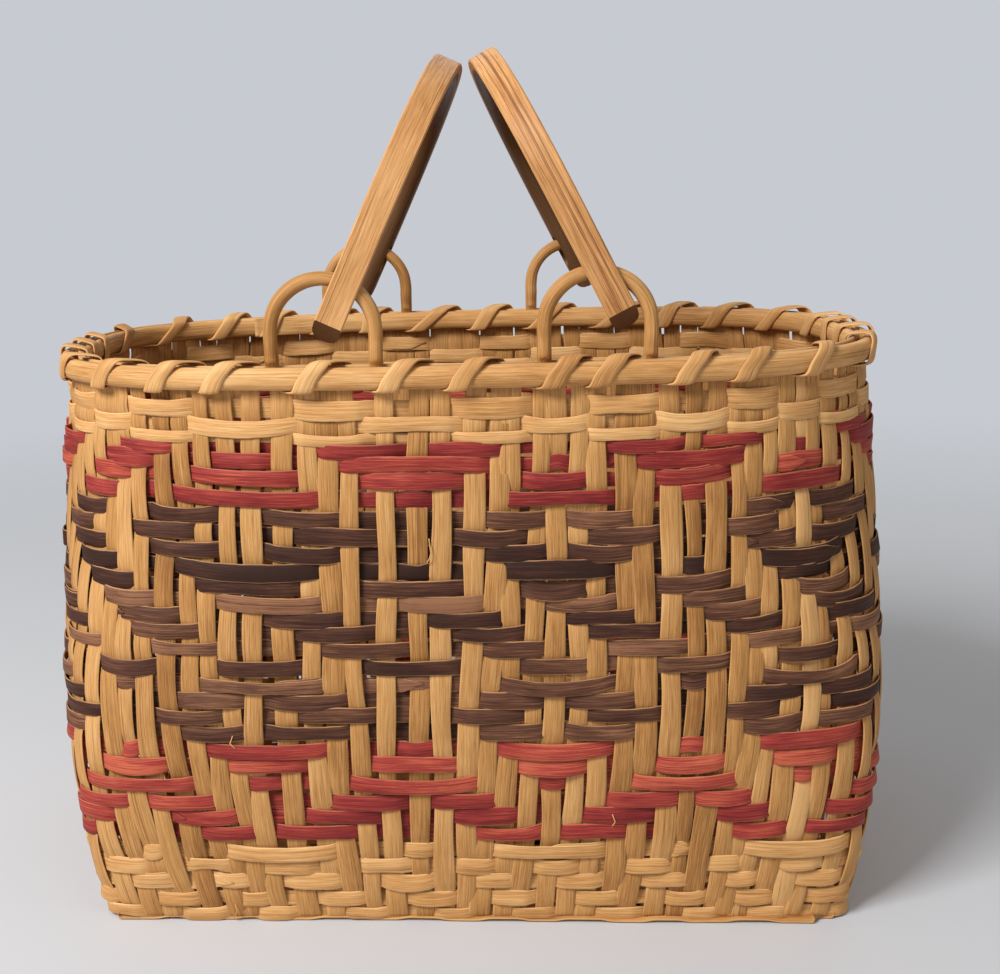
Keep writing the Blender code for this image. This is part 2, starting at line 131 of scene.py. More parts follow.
def quarter_outline(height):
    half_length, half_depth, squareness = wall_shape(height)
    turn = np.linspace(0.0, math.pi / 2, OUTLINE_POINTS)
    reach = ((np.sin(turn) / half_length) ** squareness
             + (np.cos(turn) / half_depth) ** squareness) ** (-1.0 / squareness)
    x = reach * np.sin(turn)
    y = reach * np.cos(turn)
    length = np.concatenate(([0.0], np.cumsum(np.hypot(np.diff(x), np.diff(y)))))
    distance = np.arange(QUARTER_STAKES * TABLE_PLACES + 1) / (QUARTER_STAKES * TABLE_PLACES) * length[-1]
    x = np.interp(distance, length, x)
    y = np.interp(distance, length, y)
    lean_x = (x / half_length) ** (squareness - 1.0) / half_length
    lean_y = (y / half_depth) ** (squareness - 1.0) / half_depth
    size = np.hypot(lean_x, lean_y)
    return np.stack((x, y, lean_x / size, lean_y / size), axis=1), length[-1]


OUTLINES = [quarter_outline(level * TABLE_STEP) for level in range(int(RIM_TOP / TABLE_STEP) + 2)]
WALL_TABLE = np.array([outline for outline, length in OUTLINES])
RIM_LENGTH = 4.0 * quarter_outline(RIM_TOP)[1]


def wall(place, height, offset=0.0):
    """Points on the wall and the directions that face out of it."""
    place, height, offset = np.broadcast_arrays(np.asarray(place, float), height, offset)
    place = place % ALL_PLACES
    quarter = np.minimum((place // QUARTER_STAKES).astype(int), 3)
    within = place - quarter * QUARTER_STAKES
    within = np.where(quarter % 2 == 1, QUARTER_STAKES - within, within) * TABLE_PLACES
    column = np.clip(within.astype(int), 0, WALL_TABLE.shape[1] - 2)
    level = np.clip(height / TABLE_STEP, 0.0, WALL_TABLE.shape[0] - 1.001)
    row = level.astype(int)
    across = (within - column)[..., None]
    rise = (level - row)[..., None]
    low = WALL_TABLE[row, column] * (1 - across) + WALL_TABLE[row, column + 1] * across
    high = WALL_TABLE[row + 1, column] * (1 - across) + WALL_TABLE[row + 1, column + 1] * across
    read = low * (1 - rise) + high * rise
    at_front = (quarter == 0) | (quarter == 3)
    side = np.stack((np.where(quarter <= 1, 1.0, -1.0), np.where(at_front, -1.0, 1.0)), axis=-1)
    out = read[..., 2:] * side
    out /= np.linalg.norm(out, axis=-1, keepdims=True)
    flat = read[..., :2] * side + out * offset[..., None]
    points = np.concatenate((flat, height[..., None]), axis=-1)
    facing = np.concatenate((out, np.zeros_like(height)[..., None]), axis=-1)
    return points, facing


print("rim", round(RIM_LENGTH * 1000), "mm round,", round(RIM_LENGTH * 1000 / ALL_PLACES, 2), "mm to a stake")

# %% [markdown]
# ## One tool for every strip
# A splint, a hoop, a rod and a handle are all one shape carried along a path. So one
# function carries a small outline of points along a path and keeps what the materials need:
# how far along the wood a point is, how far across and how deep, which strip it is, and how
# dark. Grain that follows these numbers bends with the strip, as real grain does.

# %% Carry an outline along a path
FLOOR_PRESS = 0.35 * MM
SPLINT_OUTLINE = ((-1.0, -0.3), (-0.86, -1.0), (0.86, -1.0), (1.0, -0.3),
                  (1.0, 0.3), (0.86, 1.0), (-0.86, 1.0), (-1.0, 0.3))


def directions(points, facing):
    ahead = np.gradient(points, axis=0)
    ahead /= np.linalg.norm(ahead, axis=1, keepdims=True)
    across = np.cross(ahead, facing)
    across /= np.linalg.norm(across, axis=1, keepdims=True)
    return across, np.cross(across, ahead)


def travelled_along(points):
    """The distance from the first point to each one."""
    return np.concatenate(([0.0], np.cumsum(np.linalg.norm(np.diff(points, axis=0), axis=1))))


class Wood:
    """Strips of wood that are gathered into one mesh."""

    def __init__(self, name):
        self.name = name
        self.points = []
        self.faces = []
        self.numbers = {"grain": [], "across": [], "tone": [], "depth": []}
        self.count = 0

    def skin(self, rings, outline, middle, half_width, half_thick, tone, seed, end_depth=None, closed=False):
        """Join a row of rings with faces and note where each point lies in the wood."""
        count, sides = rings.shape[:2]
        here = np.arange(count if closed else count - 1)[:, None] * sides + np.arange(sides)
        beside = here - np.arange(sides) + (np.arange(sides) + 1) % sides
        after = (here + sides) % (count * sides)
        after_beside = (beside + sides) % (count * sides)
        order = (here, beside, after_beside, after) if closed else (here, after, after_beside, beside)
        self.faces.extend((np.stack(order, axis=-1).reshape(-1, 4) + self.count).tolist())
        if not closed:
            self.faces.append([self.count + side for side in range(sides)])
            self.faces.append([self.count + (count - 1) * sides + side for side in reversed(range(sides))])
        grain = np.zeros((count, sides, 3))
        grain[..., 0] = travelled_along(middle)[:, None]
        grain[..., 1] = outline[:, 0] * np.broadcast_to(half_width, count)[:, None]
        grain[..., 2] = seed + outline[:, 1] * np.broadcast_to(half_thick, count)[:, None]
        depth = np.array(np.broadcast_to(outline[:, 1], (count, sides)))
        if end_depth is not None:
            depth[[0, -1]] = end_depth
        tone = np.asarray(tone, float).reshape(-1, 1)
        for name, values in (("grain", grain), ("across", outline[:, 0]), ("tone", tone), ("depth", depth)):
            size = (count, sides, 3) if name == "grain" else (count, sides)
            self.numbers[name].append(np.broadcast_to(values, size).ravel())
        self.points.append(rings.reshape(-1, 3))
        self.count += count * sides

    def strip(self, points, facing, half_width, half_thick, outline=SPLINT_OUTLINE, tone=0.0, seed=0.0,
              tilt=None, end_depth=None):
        """Carry the outline along the points, its back to the wall."""
        across, out = directions(points, facing)
        if tilt is not None:
            turned = across * np.cos(tilt)[:, None] + out * np.sin(tilt)[:, None]
            out = out * np.cos(tilt)[:, None] - across * np.sin(tilt)[:, None]
            across = turned
        outline = np.array(outline)
        wide = np.broadcast_to(half_width, len(points))[:, None, None]
        thick = np.broadcast_to(half_thick, len(points))[:, None, None]
        rings = points[:, None] + across[:, None] * outline[:, :1] * wide
        rings = rings + out[:, None] * outline[:, 1:] * thick
        self.skin(rings, outline, points, half_width, half_thick, tone, seed, end_depth)

    def mesh(self, pressed=False):
        """One mesh of all the strips. Pressed strips stay just above the floor."""
        mesh = bpy.data.meshes.new(self.name)
        points = np.concatenate(self.points)
        if pressed:
            low = points[:, 2] < FLOOR_PRESS
            points[low, 2] = FLOOR_PRESS * np.exp(points[low, 2] / FLOOR_PRESS - 1.0)
        mesh.from_pydata(points.tolist(), [], self.faces)
        for name, values in self.numbers.items():
            kind, slot = ("FLOAT_VECTOR", "vector") if name == "grain" else ("FLOAT", "value")
            layer = mesh.attributes.new(name, kind, "POINT")
            layer.data.foreach_set(slot, np.concatenate(values).astype(np.float32))
        mesh.shade_smooth()
        mesh.update()
        return mesh


def place_piece(name, mesh, material, slot, body, *nodes):
    piece = show(name, mesh)
    piece.data.materials.clear()
    piece.data.materials.append(material)
    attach(piece, body)
    if nodes:
        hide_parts(*nodes)
    return piece


print("outline points", len(SPLINT_OUTLINE))

# %% [markdown]
# ## Colours
# The picture gives the colours as a screen shows them. Blender's shaders want them in
# linear light, so one helper turns the one into the other.

# %% Screen colours to linear light


def screen(red, green, blue):
    levels = (red / 255.0, green / 255.0, blue / 255.0)
    linear = [value / 12.92 if value <= 0.04045 else ((value + 0.055) / 1.055) ** 2.4 for value in levels]
    return (*linear, 1.0)


STRAW = (screen(160, 108, 58), screen(198, 144, 86), screen(216, 164, 104), screen(234, 190, 132))
HONEY = (screen(140, 92, 46), screen(178, 126, 70), screen(196, 144, 86), screen(216, 168, 110))
CRIMSON = (screen(96, 26, 26), screen(138, 44, 42), screen(166, 64, 52), screen(200, 104, 74))
WALNUT = (screen(50, 27, 19), screen(78, 46, 33), screen(102, 65, 46), screen(148, 102, 72))
TAN = (screen(148, 96, 54), screen(196, 140, 86), screen(214, 160, 104), screen(232, 184, 128))
print("palettes", len((STRAW, HONEY, CRIMSON, WALNUT, TAN)))

# %% [markdown]
# ## Oak that knows its own grain
# Oak splint is split along the growth rings. It shows long fine fibres, a few darker
# streaks, and edges that are worn paler. A wood texture from a library would run straight
# through the weave, so the fibres are noise that is stretched along each strip's own
# numbers: thin across and long along.

# %% Wood material


def feed(tree, item, inputs):
    """Give each input its link or its plain value."""
    for name, value in inputs.items():
        if isinstance(value, bpy.types.NodeSocket):
            tree.links.new(value, item.inputs[name])
        else:
            item.inputs[name].default_value = value
    return item


def stretched_noise(tree, grain, along, across, detail, rough):
    scale = tree.nodes.new("ShaderNodeVectorMath")
    scale.operation = "MULTIPLY"
    feed(tree, scale, {0: grain, 1: (along, across, across)})
    noise = tree.nodes.new("ShaderNodeTexNoise")
    feed(tree, noise, {"Scale": 1.0, "Detail": detail, "Roughness": rough, "Vector": scale.outputs[0]})
    return noise.outputs["Fac"]


def sums(tree, operation, *values):
    item = tree.nodes.new("ShaderNodeMath")
    item.operation = operation
    return feed(tree, item, dict(enumerate(values))).outputs[0]


def ranged(tree, value, low, high, out_low, out_high):
    item = tree.nodes.new("ShaderNodeMapRange")
    item.interpolation_type = "SMOOTHSTEP"
    feed(tree, item, {"Value": value, "From Min": low, "From Max": high, "To Min": out_low,
                      "To Max": out_high})
    return item.outputs["Result"]


def blended(tree, amount, first, second):
    item = tree.nodes.new("ShaderNodeMix")
    item.data_type = "RGBA"
    return feed(tree, item, {0: amount, 6: first, 7: second}).outputs[2]


def read_number(tree, name, output="Fac"):
    item = tree.nodes.new("ShaderNodeAttribute")
    item.attribute_name = name
    return item.outputs[output]


FIBRE_GRAIN = (60.0, 2100.0)
STREAK_GRAIN = (14.0, 700.0)
PATCH_GRAIN = (30.0, 60.0)
FIBRE_WEIGHT = 1.25
STREAK_WEIGHT = 0.45
LEVEL_SPREAD = 0.42
LINE_EDGES = (0.62, 0.70)
WORN_EDGES = (0.86, 0.98)
SHEEN = 0.22
BUMP_STRENGTH = 0.55
BUMP_DEPTH = 0.3 * MM


def wood_material(name, palette, streak, streak_amount, worn, worn_amount, tone_amount, roughness,
                  patch=0.5, inner=None, line_shape=(8.0, 1500.0)):
    material = bpy.data.materials.new(name)
    material.use_nodes = True
    tree = material.node_tree
    grain = read_number(tree, "grain", "Vector")
    tone = read_number(tree, "tone")
    across = sums(tree, "ABSOLUTE", read_number(tree, "across"))
    fibres = stretched_noise(tree, grain, *FIBRE_GRAIN, 4.0, 0.7)
    streaks = stretched_noise(tree, grain, *STREAK_GRAIN, 4.0, 0.6)
    patches = stretched_noise(tree, grain, *PATCH_GRAIN, 3.0, 0.55)
    lines = stretched_noise(tree, grain, *line_shape, 2.0, 0.5)
    level = 0.0
    for part, weight in ((fibres, FIBRE_WEIGHT), (streaks, STREAK_WEIGHT), (patches, patch),
                         (tone, tone_amount)):
        level = sums(tree, "MULTIPLY_ADD", part, weight, level)
    middle = (FIBRE_WEIGHT + STREAK_WEIGHT + patch) / 2
    level = ranged(tree, level, middle - LEVEL_SPREAD, middle + LEVEL_SPREAD, 0.0, 1.0)
    ramp = feed(tree, tree.nodes.new("ShaderNodeValToRGB"), {0: level})
    stops = ramp.color_ramp.elements
    stops[0].color = palette[0]
    stops[1].color = palette[3]
    for place, colour in ((0.34, palette[1]), (0.68, palette[2])):
        stops.new(place).color = colour
    colour = blended(tree, ranged(tree, lines, *LINE_EDGES, 0.0, streak_amount), ramp.outputs[0], streak)
    rub = sums(tree, "MULTIPLY", ranged(tree, across, *WORN_EDGES, 0.0, 1.0),
               ranged(tree, fibres, 0.35, 0.6, 0.3, worn_amount))
    colour = blended(tree, rub, colour, worn)
    # The inner colour darkens a strip towards its rounded inside: partly aged wood, and partly painted shade
    # where the inside of a bow lies in shadow.
    if inner is not None:
        depth = sums(tree, "MULTIPLY_ADD", patches, 0.5, read_number(tree, "depth"))
        colour = blended(tree, ranged(tree, depth, 0.62, 0.10, 0.0, 0.88), colour, inner)
    height = sums(tree, "MULTIPLY_ADD", fibres, 0.5, streaks)
    bump = tree.nodes.new("ShaderNodeBump")
    feed(tree, bump, {"Strength": BUMP_STRENGTH, "Distance": BUMP_DEPTH, "Height": height})
    feed(tree, tree.nodes["Principled BSDF"],
         {"Base Color": colour, "Specular IOR Level": SHEEN, "Normal": bump.outputs[0],
          "Roughness": ranged(tree, streaks, 0.3, 0.7, roughness - 0.08, roughness + 0.1)})
    return material


STAKE_WOOD = wood_material("stake_oak", HONEY, screen(112, 68, 32), 0.55, screen(220, 176, 116), 0.3, 0.35,
                           0.6)
NATURAL_WOOD = wood_material("natural_weaver_oak", STRAW, screen(138, 88, 44), 0.45, screen(238, 200, 148),
                             0.5, 0.3, 0.6)
RED_WOOD = wood_material("red_weaver_oak", CRIMSON, screen(92, 22, 26), 0.5, screen(208, 132, 100), 0.55,
                         0.25, 0.6)
BROWN_WOOD = wood_material("brown_weaver_oak", WALNUT, screen(42, 24, 20), 0.6, screen(200, 150, 106), 0.85,
                           0.4, 0.65)
RIM_WOOD = wood_material("rim_oak", STRAW, screen(130, 84, 44), 0.5, screen(226, 184, 128), 0.2, 0.25, 0.55)
LASHING_WOOD = wood_material("lashing_oak", STRAW, screen(140, 92, 48), 0.4, screen(230, 188, 132), 0.3,
                             0.25, 0.55)
EAR_WOOD = wood_material("ear_oak", HONEY, screen(120, 74, 34), 0.45, screen(206, 160, 98), 0.0, 0.3, 0.5)
print("materials", len(bpy.data.materials))

# %% [markdown]
# ## Who goes over whom
# The weave is a twill: each weaver goes over three stakes and under three. In most rows the
# step to the next row turns back at every sixth stake, which makes the points of the
# pattern. Four rows in the middle step straight on, and the lowest four go over two and
# under two. At the left corner the upper rows miss a turn and run on, a slip of the hand.
# One small function answers for any row and stake whether the weaver is on top.

# %% The twill
ROW_COUNT = 32
ROW_HEIGHTS = (223.2, 216.6, 211.6, 206.8, 201.0, 194.6, 186.9, 178.9, 171.8, 165.1, 158.2, 150.8, 144.5,
               138.3, 132.2, 125.1, 117.5, 110.2, 103.2, 96.6, 89.4, 82.0, 74.6, 66.3, 58.0, 51.2, 43.3,
               34.6, 27.1, 20.0, 11.2, 3.7)
WIDE_ROWS = {0: 3.9, 1: 3.4, 2: 2.4, 3: 2.8, 31: 2.9}
POINT_STEPS = (2, 5, 2, 3, 4, 5, 0, 1, 2, 1, 0, 5, None, None, None, None, 5, 0, 1, 2, 1, 0, 5, 4, 3, 2, 1,
               0)
FIRST_STRAIGHT_ROW = 12
FIRST_BORDER_ROW = 28
MIDDLE_STAKE = 3
LEFT_TURN = -13
LEFT_END = -24
LAST_LEFT_ROW = 15
FLOAT = 3
BORDER_FLOAT = 2
ROW_COLOURS = ["natural"] * 3 + ["red"] * 4 + ["brown"] * 14 + ["red"] * 6 + ["natural"] * 5


def from_front(place):
    """A place counted from the middle of the front, and less than nothing to its left."""
    return (place + ALL_PLACES // 2) % ALL_PLACES - ALL_PLACES // 2


def weaver_on_top(row, stake):
    column = from_front(stake - MIDDLE_STAKE)
    if row >= FIRST_BORDER_ROW:
        return (column - row + FIRST_BORDER_ROW) % (2 * BORDER_FLOAT) < BORDER_FLOAT
    straight_on = row <= LAST_LEFT_ROW and LEFT_END <= column <= LEFT_TURN
    step = POINT_STEPS[row]
    if step is None:
        return (column + straight_on - row + FIRST_STRAIGHT_ROW) % (2 * FLOAT) < FLOAT
    folded = LEFT_TURN - column if straight_on else abs((column + 2 * FLOAT) % (4 * FLOAT) - 2 * FLOAT)
    return (folded - step) % (2 * FLOAT) < FLOAT


ON_TOP = np.array([[weaver_on_top(row, stake) for stake in range(ALL_PLACES)]
                   for row in range(ROW_COUNT)])
print("weavers on top at", int(ON_TOP.sum()), "of", ON_TOP.size, "crossings")

# %% [markdown]
# ## Stakes
# The uprights are strips about as wide as a finger nail is long. They were set by eye, so
# they are neither evenly spaced nor equally wide, and they lean. The front ones are put where
# they stand in the picture, and the others wander as much. Towards both ends of the front
# the rows rise a little, and the stakes take this up. Each stake runs down one wall, through
# the base and up the opposite wall.

# %% Where each stake stands
STAKE_HALF_THICK = 0.45 * MM
WEAVER_HALF_THICK = 0.4 * MM
WALL_MIDDLE = -0.9 * MM
RIM_MIDDLE = -0.5 * MM
STAKE_STEP = 0.3 * MM
WEAVER_STEP = 0.62 * MM
STAKE_CHANCE = np.random.default_rng(31)
STAKE_SPREAD = 0.07
STAKE_SHIFT = STAKE_CHANCE.normal(0.0, STAKE_SPREAD, ALL_PLACES)
STAKE_LEAN = STAKE_CHANCE.normal(0.0, STAKE_SPREAD, ALL_PLACES)
STAKE_HALF_WIDTH = np.clip(STAKE_CHANCE.normal(4.3, 0.42, ALL_PLACES), 3.4, 4.9) * MM
FRONT_NARROWER = 0.5 * MM
NARROW_STAKES = slice(11, 20)
STAKE_HALF_WIDTH[:LONG_SIDE_STAKES // 2] -= FRONT_NARROWER
STAKE_HALF_WIDTH[-LONG_SIDE_STAKES // 2:] -= FRONT_NARROWER
STAKE_HALF_WIDTH[NARROW_STAKES] -= 0.45 * MM
CROWDED_HALF_WIDTH = 3.7 * MM
FIRST_SET_STAKE = -17
SHIFTS = (-0.43, -0.46, -0.74, -0.80, -0.64, -0.58, -0.72, -0.78, -0.78, -0.37, -0.14, -0.23, -0.31, 0.08,
          0.46, 0.45, 0.74, 0.65, 0.37, 0.44, 0.34, 0.32, 0.13, 0.37, 0.17, 0.30, 0.28, 0.20, 0.18, -0.18,
          -0.46, -0.52, -0.65, -1.05, -0.90, -0.78, -0.66)
LEANS = (-2.16, -2.4, -2.64, -2.64, -2.4, -2.4, -2.04, -1.44, -0.72, -0.72, -0.768, -0.768, -0.936, 0.024,
         0.24, 0.264, 1.104, 1.656, 0.864, 1.512, 1.008, 1.08, 0.864, 1.248, 1.128, 1.32, 1.632, 1.92, 2.16,
         2.4, 2.52, 2.52, 2.4, 2.28, 2.16, 2.04, 1.92)
FADE = (0.85, 0.7, 0.55, 0.42, 0.3, 0.2, 0.12, 0.05)
UPRIGHT_STAKES = range(8, 27)
UPRIGHT_BELOW = -0.15
UPRIGHT_DEPTH = 0.35
LIFT_LEVELS = np.array((0.0, 25.0, 45.0, 80.0, 120.0, 170.0, 195.0, 212.0, 240.0)) * MM
LIFTS = ((1, (5.0, 12.0, 22.0, 30.0), np.array((0.0, 1.4, 2.2, 2.8, 2.8, 2.5, 1.7, 0.2, 0.0)) * MM),
         (-1, (7.0, 14.0, 24.0, 32.0), np.array((0.0, 0.0, 0.0, 0.0, 0.4, 2.3, 2.6, 0.9, 0.0)) * MM))
STAKE_BOW = 0.2 * MM
STAKE_BOW_LIMIT = 0.8 * MM
INNER_BOW = 0.3
STAKE_TURN = 0.35
UNDER_RIM = 226.0 * MM
UNDER_RIM_EASE = 5.0 * MM


def set_front_stakes():
    """Put the front stakes where they stand, and let that fade out round the corners."""
    for index, (shift, lean) in enumerate(zip(SHIFTS, LEANS)):
        stake = (FIRST_SET_STAKE + index) % ALL_PLACES
        STAKE_SHIFT[stake] = shift
        STAKE_LEAN[stake] = lean
    for index, part in enumerate(FADE):
        for stake, end in ((FIRST_SET_STAKE - 1 - index, 0), (FIRST_SET_STAKE + len(SHIFTS) + index, -1)):
            stake %= ALL_PLACES
            STAKE_SHIFT[stake] += SHIFTS[end] * part
            STAKE_LEAN[stake] += LEANS[end] * part
            STAKE_HALF_WIDTH[stake] = min(STAKE_HALF_WIDTH[stake], CROWDED_HALF_WIDTH)


set_front_stakes()


def stake_place(stake, height):
    lean = (height - RIM_TOP / 2) / RIM_TOP
    if stake in UPRIGHT_STAKES:
        low = np.clip(UPRIGHT_BELOW - lean, 0.0, UPRIGHT_DEPTH)
        lean = lean + low ** 2 / (2 * UPRIGHT_DEPTH)
    bend = 0.05 * np.sin(height * 47.0 + stake * 2.3) + 0.03 * np.sin(height * 113.0 + stake * 5.1)
    return stake + 0.5 + STAKE_SHIFT[stake] + STAKE_LEAN[stake] * lean + bend


ABOVE_TOP_ROW = 7.0 * MM


def row_height(row):
    return ROW_HEIGHTS[row] * MM


def row_edge(row):
    """The height half way between a row and the row above it."""
    above = row_height(row - 1) if row > 0 else row_height(0) + ABOVE_TOP_ROW
    here = row_height(row) if row < ROW_COUNT else 0.0
    return (above + here) / 2


def eased(value):
    value = np.clip(value, 0.0, 1.0)
    return value * value * (3.0 - 2.0 * value)


def row_lift(places, heights):
    """How far the rows rise towards the two ends of the front."""
    column = from_front(places - MIDDLE_STAKE)
    total = 0.0
    for side, (begin, full, leave, gone), lift in LIFTS:
        near = eased((side * column - begin) / (full - begin))
        far = eased((side * column - leave) / (gone - leave))
        total = total + near * (1.0 - far) * np.interp(heights, LIFT_LEVELS, lift)
    return total


def runs_of(signs):
    """Start, end and sign of each run of equal signs in a line."""
    edges = [0] + [index for index in range(1, len(signs)) if signs[index] != signs[index - 1]] + [len(signs)]
    return [(start, end, signs[start]) for start, end in zip(edges, edges[1:])]


def stake_offsets(stake, heights):
    """How far the stake's middle stands out of the wall at each height."""
    heights = heights - row_lift(stake + 0.5, heights)
    signs = [-1.0 if ON_TOP[row, stake] else 1.0 for row in range(ROW_COUNT)]
    offset = np.zeros(len(heights))
    for start, end, sign in runs_of(signs):
        top = row_edge(start)
        bottom = row_edge(end)
        inside = (heights <= top) & (heights > bottom)
        part = (top - heights[inside]) / (top - bottom)
        reach = np.minimum(part, 1.0 - part) * (end - start)
        bow = min(STAKE_BOW * (end - start), STAKE_BOW_LIMIT) * (1.0 - (2.0 * part - 1.0) ** 2)
        bow *= 1.0 if sign > 0 else INNER_BOW
        offset[inside] = sign * (STAKE_STEP * eased(reach / STAKE_TURN) + bow)
    return WALL_MIDDLE + (RIM_MIDDLE - WALL_MIDDLE) * eased((heights - UNDER_RIM) / UNDER_RIM_EASE) + offset


print("stake pitch", round(RIM_LENGTH / ALL_PLACES * 1000, 2), "mm")

# %% Bend the stakes up from the base
BASE_PLANE = 1.15 * MM
BASE_STEP = 0.45 * MM
BEND = 3.4 * MM
WALL_SAMPLE = 1.5 * MM
STAKE_TOP = 239.3 * MM
BASE_INSET = 0.9 * BEND
BASE_SAMPLES = 4
BEND_TURNS = np.array((0.25, 0.5, 0.75))[:, None] * math.pi / 2
DOWN = np.array((0.0, 0.0, -1.0))
STAKE_TONES = 0.22


def wall_run(stake):
    heights = np.arange(STAKE_TOP, BEND, -WALL_SAMPLE)
    return wall(stake_place(stake, heights), heights, stake_offsets(stake, heights))


def base_run(start, end, own_index, crossings, lower_first):
    """Points between the two walls, over and under the strips that cross."""
    inset = (end - start)[:2] / np.linalg.norm(end - start) * BASE_INSET
    part = np.linspace(0.0, 1.0, crossings * BASE_SAMPLES + 1)
    flat = (start[:2] + inset) * (1 - part[:, None]) + (end[:2] - inset) * part[:, None]
    crossing = np.minimum(crossings - 1, (part * crossings).astype(int))
    wave = np.where(((crossing + own_index) // 2 % 2 == 0) != lower_first, 1.0, -1.0)
    wave = np.convolve(np.pad(wave, 1, mode="edge"), (0.25, 0.5, 0.25), mode="valid") * BASE_STEP
    return np.column_stack((flat, BASE_PLANE + wave)), np.tile(DOWN, (len(part), 1))


def bend_run(wall_end, wall_out, base_end):
    """The quarter turn from a wall into the base."""
    gap = wall_end - base_end
    flat = base_end[:2] + gap[:2] * np.cos(BEND_TURNS)
    points = np.hstack((flat, wall_end[2] - gap[2] * np.sin(BEND_TURNS)))
    return points, wall_out * np.cos(BEND_TURNS) + DOWN * np.sin(BEND_TURNS)


def bent_stake(wood, first, second, own_index, crossings, lower_first, tone, seed):
    down = wall_run(first)
    up = wall_run(second)
    base = base_run(down[0][-1], up[0][-1], own_index, crossings, lower_first)
    first_bend = bend_run(down[0][-1], down[1][-1], base[0][0])
    second_bend = bend_run(up[0][-1], up[1][-1], base[0][-1])
    points, facing = (np.concatenate((down[part], first_bend[part], base[part], second_bend[part][::-1],
                                      up[part][::-1])) for part in (0, 1))
    along = np.linspace(0.0, 1.0, len(points))
    width = STAKE_HALF_WIDTH[first] * (1.0 - along) + STAKE_HALF_WIDTH[second] * along
    width *= 1.0 + 0.06 * np.sin(along * 31.0 + seed * 9.0) + 0.04 * np.sin(along * 83.0 + seed * 4.0)
    wood.strip(points, facing, width, STAKE_HALF_THICK, tone=tone, seed=seed)


def make_stakes(name, middle, stakes, crossings, lower_first, first_seed):
    wood = Wood(name + "_woven")
    for index in range(stakes):
        place = index - stakes // 2
        first = (middle + place) % ALL_PLACES
        second = (middle + 2 * QUARTER_STAKES - 1 - place) % ALL_PLACES
        bent_stake(wood, first, second, index, crossings, lower_first, STAKE_CHANCE.normal(0.0, STAKE_TONES),
                   first_seed + index * 0.37)
    place_piece(wood.name, wood.mesh(True), STAKE_WOOD, "stake_oak", "basket", name)
    return wood.count


print("stake points", make_stakes("crosswise_stakes", 0, LONG_SIDE_STAKES, SHORT_SIDE_STAKES, False, 3.1)
      + make_stakes("lengthwise_stakes", QUARTER_STAKES, SHORT_SIDE_STAKES, LONG_SIDE_STAKES, True, 23.1))

# %% [markdown]
# ## Weavers
# A weaver is one thin strip with two ends, which lie on each other for a few stakes. Where it
# goes over stakes it bows out, and the longer the float, the more it bows and sags.
# Every row gets its own small wander, so no two floats are alike.

# %% Weave the rows
SAMPLES_PER_PLACE = 6
WEAVER_HALF_WIDTH = 3.35
FLOAT_TILT = 0.05
WEAVER_BOW = 0.17 * MM
WEAVER_BOW_LIMIT = 1.7 * MM
WEAVER_TURN = 0.3
OUT_LIMIT = 2.1 * MM
SAG = 0.42 * MM
SAG_LIMIT = 4.0
TWIST_SPREAD = 0.11
JOG_SPREAD = 0.42
WIDTH_SPREAD = 0.085
RIPPLE = 0.10 * MM
OVERLAP = 7.0
OVERLAP_EASE = 1.5
OVERLAP_THINNED = 0.45
OVERLAP_APART = 0.24 * MM
OVERLAP_CROSSED = 0.35 * MM
POINTED_END = 0.9
ROW_TONES = {3: -0.2, 4: -0.1, 5: 0.1, 6: -0.3, 7: -0.05, 21: 0.15, 22: 0.7, 23: 0.4, 24: 0.1, 25: -0.15,
             26: -0.05}
TONE_SPREAD = {"natural": 0.2, "red": 0.4, "brown": 0.38}
WEAVER_WOOD = {"natural": NATURAL_WOOD, "red": RED_WOOD, "brown": BROWN_WOOD}
LOOSE_LOOPS = {3: 3.6, 4: 4.2, 5: 2.4, 10: 1.4, 12: 1.2, 19: 1.6}
LOOSE_LOOP_PLACE = 85.9
LOOSE_LOOP_REACH = 1.5
LEFT_LIMIT = -180.3 * MM


def slow_wander(chance, places, size, waves=5):
    total = np.zeros(len(places))
    for wave in range(1, waves + 1):
        phase = chance.uniform(0.0, 2 * math.pi)
        total += np.sin(places / ALL_PLACES * 2 * math.pi * wave * 3 + phase) / wave
    return total * size


def row_runs(row):
    """Start, end and sign of each run of stakes that the row is over or under."""
    signs = np.where(ON_TOP[row], 1.0, -1.0)
    first = next(index for index in range(ALL_PLACES) if signs[index] != signs[index - 1])
    return [(first + start, first + end, sign) for start, end, sign in runs_of(list(np.roll(signs, -first)))]


def edge_place(stake, height):
    """The place half way between a stake and the one before it."""
    return sum(stake_place(side % ALL_PLACES, height) + side // ALL_PLACES * ALL_PLACES
               for side in (stake, stake - 1)) / 2


